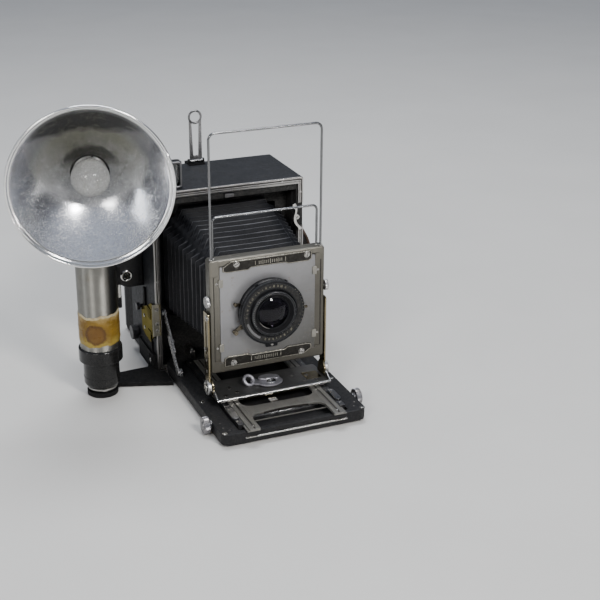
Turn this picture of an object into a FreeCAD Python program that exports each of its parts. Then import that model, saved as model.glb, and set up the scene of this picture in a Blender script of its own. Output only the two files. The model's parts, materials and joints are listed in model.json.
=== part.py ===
import FreeCAD, Part

# Press camera with drop bed, rising and tilting front, focal-plane shutter,
# wire frame finder, side rangefinder and a battery-case flash gun.
#
# Working axes while building, in millimetres:
#   X to the operator's left when behind the camera (the viewer's right in front of it)
#   -Y is the way the lens looks; y = 0 is the front plane of the body box
#   Z up; z = 0 is the underside of the body
# Every shape is moved by -SOCKET_Y along Y as it is written, so that the mouth of
# the tripod socket is the origin of the finished part.

import math
import os

os.makedirs("parts", exist_ok=True)

# ---------------------------------------------------------------- driving sizes
# body box
BODY_HW = 84.5          # half width
BODY_H = 202.0          # height
BODY_D = 92.0           # depth
BACK_Y = 123.0         # rear face of the spring back frame
WALL_IN = 77.0          # half width of the cavity
CAV_Z0, CAV_Z1 = 7.0, 195.0
BODY_R = 2.5            # rounding of the long edges
SOCKET_Y = 40.0         # tripod socket, from the front plane
SOCKET_R = 3.175        # 1/4 inch thread
TRIM_T = 1.8            # front trim thickness
TRIM_IN = 78.5          # inner half width of the trim

# bed
HINGE_Y, HINGE_Z = -5.2, 4.2
KNUCKLE_R = 2.8
PIN_R = 1.5
BED_HW = 76.6
BED_Y0, BED_Y1 = -186.0, -8.5
BED_Z0, BED_Z1 = 1.5, 13.5
POCKET_HW = 58.0
POCKET_FLOOR = 8.0
STRUT_B = (6.0, 66.0)       # strut pivot on the body (y, z)
STRUT_Q = (-42.0, 16.5)     # strut pivot on the bed (y, z)
STRUT_TRAVEL = 8.7          # pin travel in the slotted link

# focusing rack
SHAFT_Y, SHAFT_Z, SHAFT_R = -150.0, 9.0, 2.0
MODULE = 0.75
TEETH = 12
PITCH_R = MODULE * TEETH / 2
RACK_PITCH_Z = SHAFT_Z + PITCH_R
RACK_TIP_Z = RACK_PITCH_Z - 0.5
BACKLASH = 0.15             # taken off each tooth, half from each flank
LEG_IN, LEG_OUT = 39.0, 50.4
TRACK_Z0, TRACK_Z1 = 14.6, 17.0

# front standard
TILT_Y, TILT_Z = -108.0, 27.3
FRAME_HW = 61.0
FRAME_Y0, FRAME_Y1 = -111.5, -99.0
FRAME_Z0, FRAME_Z1 = 43.0, 163.5
BOARD = 101.6               # 4 inch lens board
BOARD_CZ = 105.2
BOARD_T = 4.0
LENS_X, LENS_Z = 0.3, 105.5
WIRE_R = 1.2
BORE_GAP = 0.06             # radial clearance of running pins

# bellows
BEL_R_HW, BEL_R_Z0, BEL_R_Z1, BEL_R_CH, BEL_R_Y = 70.0, 46.0, 178.0, 22.0, 24.0
BEL_F_HW, BEL_F_Z0, BEL_F_Z1, BEL_F_CH, BEL_F_Y = 54.0, 54.0, 157.0, 16.0, -98.7
BEL_WALL = 7.0

# flash gun
GUN_X, GUN_Y = -151.0, -22.0
TUBE_R, TUBE_BORE = 20.5, 19.2
GUN_AZ = math.radians(13.5)
LAMP_Z = 237.5
BOWL_R = 78.5               # reflector rim radius
BOWL_D = 50.0               # rim plane in front of the handle axis
BOWL_K = 116.0              # r * r = BOWL_K * depth
BOWL_T = 0.8
BULB_R, BULB_D = 18.8, 16.0


# ---------------------------------------------------------------- helpers
def V(x, y, z):
    return FreeCAD.Vector(x, y, z)


def box(x0, x1, y0, y1, z0, z1):
    return Part.makeBox(x1 - x0, y1 - y0, z1 - z0, V(x0, y0, z0))


def cyl_x(y, z, r, x0, x1):
    return Part.makeCylinder(r, x1 - x0, V(x0, y, z), V(1, 0, 0))


def cyl_y(x, z, r, y0, y1):
    return Part.makeCylinder(r, y1 - y0, V(x, y0, z), V(0, 1, 0))


def cyl_z(x, y, r, z0, z1):
    return Part.makeCylinder(r, z1 - z0, V(x, y, z0), V(0, 0, 1))


def fuse(*shapes):
    out = shapes[0]
    for s in shapes[1:]:
        out = out.fuse(s)
    return out.removeSplitter()


def cut(shape, *tools):
    for t in tools:
        shape = shape.cut(t)
    return shape


def point3(axis, u, v, a):
    return {"x": V(a, u, v), "y": V(u, a, v), "z": V(u, v, a)}[axis]


def prism(axis, pts, a0, a1):
    # polygon in the plane across the axis, carried from a0 to a1
    vs = [point3(axis, u, v, a0) for u, v in pts]
    vs.append(vs[0])
    d = {"x": V(a1 - a0, 0, 0), "y": V(0, a1 - a0, 0), "z": V(0, 0, a1 - a0)}[axis]
    return Part.Face(Part.makePolygon(vs)).extrude(d)


def round_along(shape, axis, r, pick=None):
    # round the straight edges that run along one axis
    d = {"x": V(1, 0, 0), "y": V(0, 1, 0), "z": V(0, 0, 1)}[axis]
    es = []
    for e in shape.Edges:
        if len(e.Vertexes) != 2:
            continue
        t = e.Vertexes[1].Point.sub(e.Vertexes[0].Point)
        if t.Length < 1e-6 or abs(abs(t.normalize().dot(d)) - 1) > 1e-6:
            continue
        if pick is None or pick(e.CenterOfMass):
            es.append(e)
    return shape.makeFillet(r, es) if es else shape


def sx(s, a, b):
    # ordered x range of the span a..b on side s
    return (s * a, s * b) if s * a < s * b else (s * b, s * a)


def sbox(s, a, b, y0, y1, z0, z1):
    x0, x1 = sx(s, a, b)
    return box(x0, x1, y0, y1, z0, z1)


def scyl(s, y, z, r, a, b):
    x0, x1 = sx(s, a, b)
    return cyl_x(y, z, r, x0, x1)


def link(axis, p, q, hw, a0, a1):
    # flat link with round ends between two points
    (u0, v0), (u1, v1) = p, q
    L = math.hypot(u1 - u0, v1 - v0)
    nx, ny = -(v1 - v0) / L * hw, (u1 - u0) / L * hw
    bar = prism(axis, [(u0 + nx, v0 + ny), (u1 + nx, v1 + ny), (u1 - nx, v1 - ny), (u0 - nx, v0 - ny)], a0, a1)
    c = {"x": cyl_x, "y": cyl_y, "z": cyl_z}[axis]
    return fuse(bar, c(u0, v0, hw, a0, a1), c(u1, v1, hw, a0, a1))


def path_bar(axis, pts, hw, a0, a1):
    out = None
    for p, q in zip(pts, pts[1:]):
        b = link(axis, p, q, hw, a0, a1)
        out = b if out is None else out.fuse(b)
    return out.removeSplitter()


def save(name, *shapes):
    solids = []
    for s in shapes:
        solids.extend(s.Solids)
    out = solids[0] if len(solids) == 1 else Part.makeCompound(solids)
    out = out.copy()
    out.translate(V(0, -SOCKET_Y, 0))
    out.exportStep("parts/" + name + ".step")


def gun(shape):
    # from lamp axes (+Z along the lamp axis, forward) to the part
    n = V(-math.sin(GUN_AZ), -math.cos(GUN_AZ), 0)
    s = shape.copy()
    s.Placement = FreeCAD.Placement(V(GUN_X, GUN_Y, LAMP_Z), FreeCAD.Rotation(V(0, 0, 1), n))
    return s


def disc_d(r, d0, d1):
    return Part.makeCylinder(r, d1 - d0, V(0, 0, d0), V(0, 0, 1))


# ================================================================ BODY
# wooden body box with leather skin, open front and back
body = box(-BODY_HW, BODY_HW, 0, BODY_D, 0, BODY_H)
body = round_along(body, "y", BODY_R)
body = cut(body, box(-WALL_IN, WALL_IN, -1, BODY_D + 1, CAV_Z0, CAV_Z1))
# lip above the front opening, with the slot of the bed catch
lip = cut(box(-WALL_IN, WALL_IN, 0, 4, 188, CAV_Z1), box(-5.3, 5.3, -1, 5, 188.7, 193.3))
# bulkhead that carries the rear end of the bellows
bulk = cut(box(-WALL_IN, WALL_IN, BEL_R_Y, BEL_R_Y + 3, CAV_Z0, CAV_Z1), box(-62, 62, 20, 30, 54, 170))
# boss of the release lever and shoulders of the strut pivots
boss = box(73, WALL_IN, 0, 4, 153.5, 162.5)
body = fuse(body, lip, bulk, boss)
for s in (-1, 1):
    body = fuse(body, scyl(s, STRUT_B[0], STRUT_B[1], 3.2, 74.2, WALL_IN), scyl(s, STRUT_B[0], STRUT_B[1], PIN_R, 71.4, 74.4))
body = cut(
    body,
    cyl_z(0, SOCKET_Y, SOCKET_R, -1, CAV_Z0 + 1),
    cyl_y(76.5, 158, 1.2 + BORE_GAP, -1, 3.4),
    cyl_x(70, 182, 3.05, -85, -76),
    cyl_x(70, 20, 3.05, -85, -76),
    cyl_x(48, 60, 2.0 + BORE_GAP, -85, -76),
)
save("body_box", body)

# metal trim round the front edge, with the body half of the bed hinge
trim = box(-BODY_HW, BODY_HW, -TRIM_T, 0, 0.8, BODY_H)
trim = round_along(trim, "y", BODY_R)
trim = cut(
    trim,
    box(-TRIM_IN, TRIM_IN, -3, 1, 8.0, 194.5),
    box(TRIM_IN - 1, BODY_HW + 1, -3, 1, 147, 173),
    box(-6.5, 6.5, -3, 1, 193.9, 195.2),
)
# groove that splits the trim into two lines
for s in (-1, 1):
    trim = cut(trim, sbox(s, 80.9, 82.1, -TRIM_T - 0.1, -TRIM_T + 0.6, 9, 198.2))
trim = cut(trim, box(-82.1, 82.1, -TRIM_T - 0.1, -TRIM_T + 0.6, 197.0, 198.2))
for x0, x1 in ((-75.0, -45.0), (-15.0, 15.0), (45.0, 75.0)):
    trim = fuse(trim, cyl_x(HINGE_Y, HINGE_Z, KNUCKLE_R, x0, x1), box(x0, x1, HINGE_Y, -TRIM_T + 0.2, HINGE_Z - 2.6, HINGE_Z))
trim = cut(trim, cyl_x(HINGE_Y, HINGE_Z, PIN_R, -77, 77))
save("front_trim", trim)

save("hinge_pin", cyl_x(HINGE_Y, HINGE_Z, PIN_R, -76, 76))

# chromed bracket folded round the left front corner
front_leaf = box(-88.5, -79.5, -TRIM_T - 1.2, -TRIM_T, 43.5, 80.5)
side_leaf = prism("x", [(-3, 43.5), (8, 35), (27, 32.5), (41, 36), (42, 62), (20, 71), (6, 79.5), (-3, 80.5)], -88.0, -86.8)
tabs = [box(-89.0, -87.9, 5, 19, 60, 73), box(-89.0, -87.9, 6, 17, 33.5, 46)]
pad = box(-87.4, -84.5, 6, 32, 44, 62)
screws = [cyl_y(-84, 74.5, 2.2, -4.0, -2.9), cyl_y(-84, 50.5, 2.2, -4.0, -2.9)]
screws += [cyl_x(30, 56, 2.0, -88.8, -87.9), cyl_x(30, 42, 2.0, -88.8, -87.9)]
save("corner_bracket", fuse(front_leaf, side_leaf, pad, *tabs, *screws))

# leather hand strap on the right side
top_z, bot_z = 160.0, 48.0
mid_z, half_z = (top_z + bot_z) / 2, (top_z - bot_z) / 2


def strap_curve(off):
    pts = []
    for i in range(33):
        u = -1 + 2 * i / 32
        z = mid_z + half_z * u
        x = 86.0 + 21.5 * math.cos(math.pi * u / 2) ** 2
        dx = -21.5 * math.pi * math.sin(math.pi * u) / 2 / half_z
        L = math.hypot(dx, 1)
        pts.append(V(x + off / L, 32, z - off * dx / L))
    pts[0].x = pts[-1].x = 86.0 + off
    pts[0].z, pts[-1].z = bot_z, top_z
    c = Part.BSplineCurve()
    c.interpolate(pts)
    return c.toShape(), pts[0], pts[-1]


outer, o0, o1 = strap_curve(1.5)
inner, i0, i1 = strap_curve(-1.5)
arch = Part.Face(Part.Wire([outer, Part.makeLine(o1, i1), inner, Part.makeLine(i0, o0)]))
strap = fuse(arch.extrude(V(0, 22, 0)), box(84.5, 87.5, 32, 54, 160, 176), box(84.5, 87.5, 32, 54, 32, 48))
save("hand_strap", strap)

plates = []
for z0 in (161.0, 35.0):
    p = round_along(box(87.5, 89.1, 30, 56, z0, z0 + 12), "x", 3)
    p = fuse(p, cyl_x(34.5, z0 + 6, 2.4, 89.0, 90.2), cyl_x(51.5, z0 + 6, 2.4, 89.0, 90.2))
    plates.append(p)
save("strap_plates", *plates)


# optical tube finder on the top plate
def squircle(cx, cz, h, y):
    # points of a square of half side h, by direction
    out = []
    for i in range(32):
        a = 2 * math.pi * i / 32 + math.pi / 4
        c, s = math.cos(a), math.sin(a)
        m = max(abs(c), abs(s))
        out.append(V(cx + h * c / m, y, cz + h * s / m))
    return out


def round_pts(cx, cz, r, y):
    return [V(cx + r * math.cos(2 * math.pi * i / 32 + math.pi / 4), y, cz + r * math.sin(2 * math.pi * i / 32 + math.pi / 4)) for i in range(32)]


def closed(pts):
    return Part.makePolygon(pts + [pts[0]])


FX, FZ = -62.5, 216.5
bezel = round_along(box(FX - 14.5, FX + 14.5, 6, 18, FZ - 14.5, FZ + 14.5), "y", 1.8)
taper = Part.makeLoft([closed(squircle(FX, FZ, 12.6, 18)), closed(round_pts(FX, FZ, 10, 36))], True, True)
tube = cyl_y(FX, FZ, 10, 36, 72)
eye = cyl_y(FX, FZ, 11.2, 72, 78)
foot = fuse(box(FX - 10, FX + 10, 18, 76, 202, 203.6), box(FX - 2.5, FX + 2.5, 20, 74, 203.4, FZ - 5))
finder = fuse(bezel, taper, tube, eye, foot)
finder = cut(finder, box(FX - 11.5, FX + 11.5, 5, 16, FZ - 11.5, FZ + 11.5), cyl_y(FX, FZ, 8, 15, 79))
save("viewfinder_housing", finder)

# rangefinder box on the left side, lower end rounded
RX0, RX1, RY0, RY1, RZ0, RZ1 = -113.5, -84.5, 40.0, 70.0, 86.0, 168.0
rf = box(RX0, RX1, RY0, RY1, RZ0 + 14, RZ1)
rf = fuse(rf, box(RX0 + 14, RX1, RY0, RY1, RZ0, RZ0 + 15), cyl_y(RX0 + 14, RZ0 + 14, 14, RY0, RY1))
rf = round_along(rf, "z", 3, lambda c: c.x < RX0 + 1)
rf = cut(rf, box(RX0 + 2.4, RX1 - 2, RY0 + 2, RY1 - 2, RZ0 + 18, RZ1 - 3))
rf = cut(rf, box(RX0 + 5, RX1 - 2, RY0 + 2, RY1 - 2, RZ0 + 8, RZ0 + 19))
WX, WZ0, WZ1 = -103.5, 100.8, 155.0
for z in (WZ0, WZ1):
    rf = fuse(rf, cyl_y(WX, z, 6.8, RY0 - 2.5, RY0 + 0.2))
    rf = cut(rf, cyl_y(WX, z, 4.0, RY0 - 3, RY0 + 3))
rf = cut(rf, cyl_y(WX, WZ0, 3.0, RY1 - 3, RY1 + 1))

glass = [
    box(FX - 11.5, FX + 11.5, 9, 11.5, FZ - 11.5, FZ + 11.5),
    cyl_y(FX, FZ, 8, 72, 74.5),
    cyl_y(WX, WZ0, 4.0, RY0 - 1.2, RY0 + 0.6),
    cyl_y(WX, WZ1, 4.0, RY0 - 1.2, RY0 + 0.6),
    prism("x", [(RY0 + 8, WZ0 - 5), (RY0 + 18, WZ0 + 5), (RY0 + 8, WZ0 + 5)], WX - 5, WX + 5),
    prism("x", [(RY0 + 8, WZ1 - 5), (RY0 + 18, WZ1 - 5), (RY0 + 8, WZ1 + 5)], WX - 5, WX + 5),
    cyl_y(WX, WZ0, 3.0, RY1 - 2, RY1 - 0.5),
]
# seats that tie the two prisms to the side plate of the housing
rf_seats = [box(WX + 5, RX1 - 2, RY0 + 9, RY0 + 14, z, z + 5) for z in (WZ0 - 0.5, WZ1 - 3.5)]
rf = fuse(rf, *rf_seats)
save("rangefinder_housing", rf)
save("finder_glass", *glass)

# focal-plane shutter box across the inside of the body
sb = box(-WALL_IN, WALL_IN, 60, 80, CAV_Z0, CAV_Z1)
sb = cut(
    sb,
    box(-60, 60, 59, 81, 52, 150),
    box(-72, 72, 61.5, 78.5, 173, 191),
    box(-72, 72, 61.5, 78.5, 11, 29),
    box(-66, 66, 62.6, 64.4, 20, 182),
    cyl_x(70, 182, 3.05, -78, -71), cyl_x(70, 182, 3.05, 71, 78),
    cyl_x(70, 20, 3.05, -78, -71), cyl_x(70, 20, 3.05, 71, 78),
)
save("shutter_box", sb)
save("shutter_curtain", box(-66, 66, 63.2, 63.7, 30, 172))

# frame of the spring back, with the hinge ears and pin of the peep sight
bf = fuse(round_along(box(-84, 84, BODY_D, 101, 1, 198.8), "y", BODY_R), round_along(box(-84, 84, 101, BACK_Y, 1, 190), "y", BODY_R))
bf = cut(bf, box(-66, 66, 91, BACK_Y + 1, 46, 158))
bf = fuse(bf, box(-16, 2.2, BODY_D, 98, 196, 203.2), box(-16, 2.2, 80, 98, BODY_H, 203.2))
PEEP_X, PEEP_Y, PEEP_HZ, PEEP_Z = -6.9, 85.0, 206.0, 254.8
for x0, x1 in ((-16.0, -14.8), (1.0, 2.2)):
    ear = fuse(box(x0, x1, 82.6, 87.4, 203.0, 206.0), cyl_x(PEEP_Y, PEEP_HZ, 2.4, x0, x1))
    bf = fuse(bf, ear)
bf = fuse(bf, cyl_x(PEEP_Y, PEEP_HZ, 0.9, -15.5, 1.7))
for px in (-74.0, 74.0):
    for pz in (24.0, 178.0):
        bf = cut(bf, cyl_y(px, pz, 1.5 + BORE_GAP, BACK_Y - 8, BACK_Y + 1))
save("back_frame", bf)

# flash bracket: foot plate at the left of the bed, side tab and upper clamp
foot_plate = prism("z", [(-139, -20), (-131, -19), (-78.5, -36.6), (-78.5, -8), (-84.5, -4), (-84.5, 20), (-88.5, 20), (-93, 9), (-128, 7), (-139, -8)], 0, 4.5)
side_plate = cut(prism("x", [(12, 0), (56, 0), (40, 50), (38, 86), (33, 86), (33, 33), (12, 30)], -86.7, -84.5), box(-90, -84, 5.8, 32.2, 43.8, 62.2))
fb = fuse(foot_plate, cyl_z(GUN_X, GUN_Y, 16, 0, 4.5), box(-88.5, -84.5, 2, 56, 0, 20), side_plate)
fb = fuse(fb, cyl_x(7, 14, 2.6, -89.6, -88.3), cyl_x(15, 14, 2.6, -89.6, -88.3))
jaw = box(-136, -126.5, -24, -4, 92, 137)
back_arm = fuse(box(-130.2, -124, -6, 78, 106, 122), box(-130.2, -84.5, 72.5, 78, 106, 122))
fb2 = cut(fuse(jaw, back_arm), cyl_z(GUN_X, GUN_Y, TUBE_R + 0.35, 80, 150))
save("flash_bracket", fb, fb2)


# bellows: one hollow tapered tube with chamfered corners
def octagon(hw, z0, z1, ch, y):
    p = [(-hw, z0 + ch), (-hw, z1 - ch), (-hw + ch, z1), (hw - ch, z1), (hw, z1 - ch), (hw, z0 + ch), (hw - ch, z0), (-hw + ch, z0)]
    return closed([V(u, y, v) for u, v in p])


def bellows_solid(grow, ya, yb):
    w = [
        octagon(BEL_R_HW - grow, BEL_R_Z0 + grow, BEL_R_Z1 - grow, BEL_R_CH - grow * 0.6, ya),
        octagon(BEL_F_HW - grow, BEL_F_Z0 + grow, BEL_F_Z1 - grow, BEL_F_CH - grow * 0.6, yb),
    ]
    return Part.makeLoft(w, True, True)


save("bellows", bellows_solid(0, BEL_R_Y, BEL_F_Y).cut(bellows_solid(BEL_WALL, BEL_R_Y + 1, BEL_F_Y - 1)))

# rear peep sight, folding forward
ps = cut(cyl_y(PEEP_X, PEEP_Z, 7.9, 84.4, 85.6), cyl_y(PEEP_X, PEEP_Z, 5.7, 84, 86))
for s in (-1, 1):
    leg = prism("y", [(PEEP_X + s * 6.9, PEEP_Z - 3.5), (PEEP_X + s * 3.6, PEEP_Z - 6.2), (PEEP_X + s * 2.6, PEEP_HZ + 1), (PEEP_X + s * 7.1, PEEP_HZ + 1)], 84.4, 85.6)
    ps = ps.fuse(leg)
ps = fuse(ps, cyl_x(PEEP_Y, PEEP_HZ, 2.0, -14.4, 0.6))
ps = cut(ps, cyl_y(PEEP_X, PEEP_Z, 5.7, 84, 86), cyl_x(PEEP_Y, PEEP_HZ, 0.9 + BORE_GAP, -15, 1))
save("peep_sight", ps)


# shutter rollers with their outside controls
def roller(z):
    return fuse(cyl_x(70, z, 6.0, -70, 70), cyl_x(70, z, 3.0, -92, -69), cyl_x(70, z, 3.0, 69, 76.5))


key = fuse(cyl_x(70, 182, 5.0, -89.5, -85.2), cyl_x(70, 182, 8.0, -91.6, -89.5), round_along(box(-99.5, -91.4, 59.5, 80.5, 180.8, 183.2), "x", 0.9))
save("winding_key", fuse(roller(182), key))


def knurled_x(y, z, r, x0, x1, n, depth):
    pts = []
    for i in range(n):
        for k, rr in ((0, r), (0.5, r - depth)):
            a = 2 * math.pi * (i + k) / n
            pts.append((y + rr * math.cos(a), z + rr * math.sin(a)))
    return prism("x", pts, x0, x1)


save("tension_knob", fuse(roller(20), knurled_x(70, 20, 8.0, -93.0, -86.0, 28, 0.4), cyl_x(70, 20, 5, -86.2, -85.0)))
save("release_button", fuse(cyl_x(48, 60, 4.0, -92.0, -88.5), cyl_x(48, 60, 2.0, -88.6, -73), cyl_x(48, 60, 3.4, -76.7, -74.7)))

# ground glass frame on four guide pins, its glass and the folding hood cover
GY0 = BACK_Y + 0.3
gf = round_along(box(-83.5, 83.5, GY0, GY0 + 5.7, 1.5, 187), "y", 3)
gf = cut(gf, box(-60, 60, GY0 - 1, GY0 + 7, 50, 152), box(-64, 64, GY0 + 1.7, GY0 + 3.9, 46.5, 155.5), box(-64, 64, GY0 - 0.3, GY0 + 1.8, 46.5, 155.5))
gf = fuse(gf, box(-64, 64, GY0, GY0 + 0.9, 46.5, 49), box(-64, 64, GY0, GY0 + 0.9, 153, 155.5))
for px in (-74.0, 74.0):
    for pz in (24.0, 178.0):
        gf = fuse(gf, cyl_y(px, pz, 1.5, GY0 - 8, GY0 + 0.2))
HOOD_Y, HOOD_Z = GY0 + 9.0, 153.4
for x0, x1 in ((-52.0, -32.0), (32.0, 52.0)):
    gf = fuse(gf, cyl_x(HOOD_Y, HOOD_Z, 2.2, x0, x1), box(x0, x1, GY0 + 5.5, HOOD_Y, HOOD_Z, HOOD_Z + 2.2))
gf = fuse(gf, cyl_x(HOOD_Y, HOOD_Z, 0.9, -51, 51))
save("ground_glass_frame", gf)
save("ground_glass", box(-64, 64, GY0 + 0.9, GY0 + 3.9, 46.5, 155.5))
hc = round_along(box(-58, 58, GY0 + 6.1, GY0 + 17.7, 51, 151), "y", 3)
hc = cut(hc, box(-55.5, 55.5, GY0 + 5, GY0 + 15.7, 53.5, 148.5))
hc = fuse(hc, cyl_x(HOOD_Y, HOOD_Z, 2.2, -31.5, 31.5), box(-31.5, 31.5, HOOD_Y - 0.2, HOOD_Y + 2.2, 150, HOOD_Z))
hc = cut(hc, cyl_x(HOOD_Y, HOOD_Z, 0.9 + BORE_GAP, -32, 32))
save("hood_cover", hc)

# curved release lever beside the right trim, pivoting on the body boss
lever = path_bar("y", [(72.5, 173), (74.6, 169.5), (75.5, 166), (75, 162), (74, 158), (74, 154.5), (75, 151), (77.3, 148), (79.5, 146), (80, 143.5)], 1.8, -4.2, -2.2)
lever = fuse(lever, cyl_y(76.5, 158, 3.0, -4.2, -2.2), cyl_y(76.5, 158, 1.2, -4.6, 3.0))
save("body_release_lever", lever)

# sliding catch of the closed bed
save("bed_catch", fuse(box(-5, 5, -2.6, 6, 189, 193), box(-7, 7, 4.4, 6, 188.4, 193.6)))

# ================================================================ BED
bed = box(-BED_HW, BED_HW, BED_Y0, BED_Y1, BED_Z0, BED_Z1)
bed = round_along(bed, "z", 8, lambda c: c.y < BED_Y0 + 1)
bed = cut(bed, box(-POCKET_HW, POCKET_HW, -180, -12, POCKET_FLOOR, BED_Z1 + 1))
for s in (-1, 1):
    bed = cut(
        bed,
        sbox(s, 41, 49, SHAFT_Y - 7, SHAFT_Y + 7, 3, 9),
        scyl(s, SHAFT_Y, SHAFT_Z, SHAFT_R + 0.08, POCKET_HW - 1, BED_HW + 1),
        sbox(s, 73.7, BED_HW + 1, -49, -36, 12.1, BED_Z1 + 1),
    )
bed = cut(bed, box(-58, 58, SHAFT_Y - 2.6, SHAFT_Y + 2.6, 6.4, 9))
# channels in the front wall that clear the racks when the track runs out
for s in (-1, 1):
    bed = cut(bed, sbox(s, 41.3, 48.7, BED_Y0 - 1, -179.5, RACK_TIP_Z - 0.5, BED_Z1 + 1))
for x0, x1 in ((-44.6, -15.4), (15.4, 44.6)):
    bed = fuse(bed, cyl_x(HINGE_Y, HINGE_Z, KNUCKLE_R, x0, x1), box(x0, x1, BED_Y1 - 0.2, HINGE_Y, BED_Z0, HINGE_Z))
bed = cut(bed, cyl_x(HINGE_Y, HINGE_Z, PIN_R + BORE_GAP, -77, 77))
for s in (-1, 1):
    lug = fuse(sbox(s, 70.4, 73.6, -47, -37, BED_Z1 - 0.2, STRUT_Q[1]), scyl(s, STRUT_Q[0], STRUT_Q[1], 4.4, 70.4, 73.6))
    lug = cut(lug, box(-80, 80, -60, -30, 5, BED_Z1 - 0.2))
    bed = fuse(bed, lug, scyl(s, STRUT_Q[0], STRUT_Q[1], PIN_R, 73.4, 76.0))
for x, y in ((-73, -181.6), (73, -181.6), (-71.6, -109.7), (71.6, -109.7), (-68.5, -14.2), (68.5, -14.2)):
    bed = fuse(bed, cyl_z(x, y, 2.3, BED_Z1 - 0.2, BED_Z1 + 0.7))
save("bed_board", bed)

# guide rails of the focusing track, and the front bar
rails = []
for s in (-1, 1):
    r = fuse(
        sbox(s, 53, 57, -176, -14, POCKET_FLOOR, 16.9),
        sbox(s, 50.4, 53, -176, -14, POCKET_FLOOR, 14.3),
        sbox(s, 50.9, 57, -176, -14, 15.9, 16.9),
    )
    rails.append(cut(r, sbox(s, 50, 58, SHAFT_Y - 2.6, SHAFT_Y + 2.6, 7, 11.6)))
front_bar = round_along(box(-54, 54, BED_Y0 - 3, BED_Y0, 5, 9.5), "x", 1.2, lambda c: c.y < BED_Y0 - 2)
save("bed_rails", *rails, front_bar)

# folding struts: slotted link on the body, plain link with a pin on the bed
UY, UZ = STRUT_Q[0] - STRUT_B[0], STRUT_Q[1] - STRUT_B[1]
UL = math.hypot(UY, UZ)
UY, UZ = UY / UL, UZ / UL


def on_strut(t):
    return (STRUT_B[0] + UY * t, STRUT_B[1] + UZ * t)


uppers, lowers = [], []
for s in (-1, 1):
    a, b = sx(s, 72.2, 73.6)
    up = link("x", on_strut(0), on_strut(45), 3.6, a, b)
    up = fuse(up, cyl_x(on_strut(0)[0], on_strut(0)[1], 4.6, a, b))
    up = cut(up, link("x", on_strut(33.4), on_strut(33.4 + STRUT_TRAVEL + 1.2), 1.9, a - 1, b + 1))
    up = cut(up, cyl_x(STRUT_B[0], STRUT_B[1], PIN_R + BORE_GAP, a - 1, b + 1))
    uppers.append(up)
    a, b = sx(s, 74.0, 75.4)
    lo = link("x", on_strut(30), on_strut(UL), 3.6, a, b)
    lo = fuse(lo, scyl(s, on_strut(34)[0], on_strut(34)[1], 1.5, 71.3, 74.4), scyl(s, on_strut(34)[0], on_strut(34)[1], 2.6, 70.9, 71.8))
    lo = cut(lo, cyl_x(STRUT_Q[0], STRUT_Q[1], PIN_R + BORE_GAP, a - 1, b + 1))
    lowers.append(lo)
save("upper_struts", *uppers)
save("lower_struts", *lowers)

# focusing pinion: twelve teeth each side on one shaft
base_r = PITCH_R * math.cos(math.radians(20))
tip_r = PITCH_R + MODULE
root_r = PITCH_R - 1.25 * MODULE


def inv(a):
    return math.tan(a) - a


def pinion_pts():
    half = (math.pi * MODULE / 2 - BACKLASH) / (2 * PITCH_R)   # half tooth angle at the pitch circle
    flank = []
    for i in range(6):
        r = base_r + (tip_r - base_r) * i / 5
        a = math.acos(min(1.0, base_r / r))
        flank.append((r, half + inv(math.radians(20)) - inv(a)))
    pts = []
    for k in range(TEETH):
        c = math.pi / 2 + math.pi / TEETH + 2 * math.pi * k / TEETH
        step = math.pi / TEETH
        pts.append((root_r, c - step))
        pts.append((root_r, c - flank[0][1] * 0.94))
        pts += [(r, c - h) for r, h in flank]
        pts += [(r, c + h) for r, h in reversed(flank)]
        pts.append((root_r, c + flank[0][1] * 0.94))
    return [(SHAFT_Y + r * math.cos(a), SHAFT_Z + r * math.sin(a)) for r, a in pts]


pin = cyl_x(SHAFT_Y, SHAFT_Z, SHAFT_R, -84, 84)
for x0, x1 in ((-48.0, -42.0), (42.0, 48.0)):
    pin = pin.fuse(prism("x", pinion_pts(), x0, x1))
save("pinion_shaft", pin)

knobs = []
for s in (-1, 1):
    a, b = sx(s, 78.6, 85.0)
    k = knurled_x(SHAFT_Y, SHAFT_Z, 8.8, a, b, 44, 0.35)
    k = fuse(k, scyl(s, SHAFT_Y, SHAFT_Z, 5.0, 77.4, 78.8), scyl(s, SHAFT_Y, SHAFT_Z, 6.8, 84.9, 86.0))
    knobs.append(cut(k, cyl_x(SHAFT_Y, SHAFT_Z, SHAFT_R, -84, 84)))
save("focusing_knobs", *knobs)

# focusing track: two grooved legs joined by a cross-piece, racks under the legs
track = None
for s in (-1, 1):
    leg = fuse(sbox(s, LEG_IN, LEG_OUT, -190, -20, TRACK_Z0, TRACK_Z1), sbox(s, LEG_OUT - 0.1, 52.5, -190, -20, TRACK_Z0, TRACK_Z0 + 1.0))
    leg = cut(leg, sbox(s, 43.6, 45.8, -191, -19, TRACK_Z1 - 0.5, TRACK_Z1 + 1))
    pts = []
    p = math.pi * MODULE
    k0, k1 = -6, 18
    half_pitch = p / 4 - BACKLASH / 2
    t20 = math.tan(math.radians(20))
    h_root, h_tip = TRACK_Z0 + 0.1 - RACK_PITCH_Z, RACK_PITCH_Z - RACK_TIP_Z
    teeth = []
    for k in range(k0, k1 + 1):
        yc = SHAFT_Y + k * p
        wr, wt = half_pitch + h_root * t20, half_pitch - h_tip * t20
        x0, x1 = sx(s, 42, 48)
        teeth.append(prism("x", [(yc - wr, TRACK_Z0 + 0.1), (yc + wr, TRACK_Z0 + 0.1), (yc + wt, RACK_TIP_Z), (yc - wt, RACK_TIP_Z)], x0, x1))
    leg = leg.multiFuse(teeth)
    track = leg if track is None else track.fuse(leg)
cross = box(-LEG_IN - 0.5, LEG_IN + 0.5, -159, -143, TRACK_Z0, TRACK_Z1)
track = track.fuse(cross)
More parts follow.
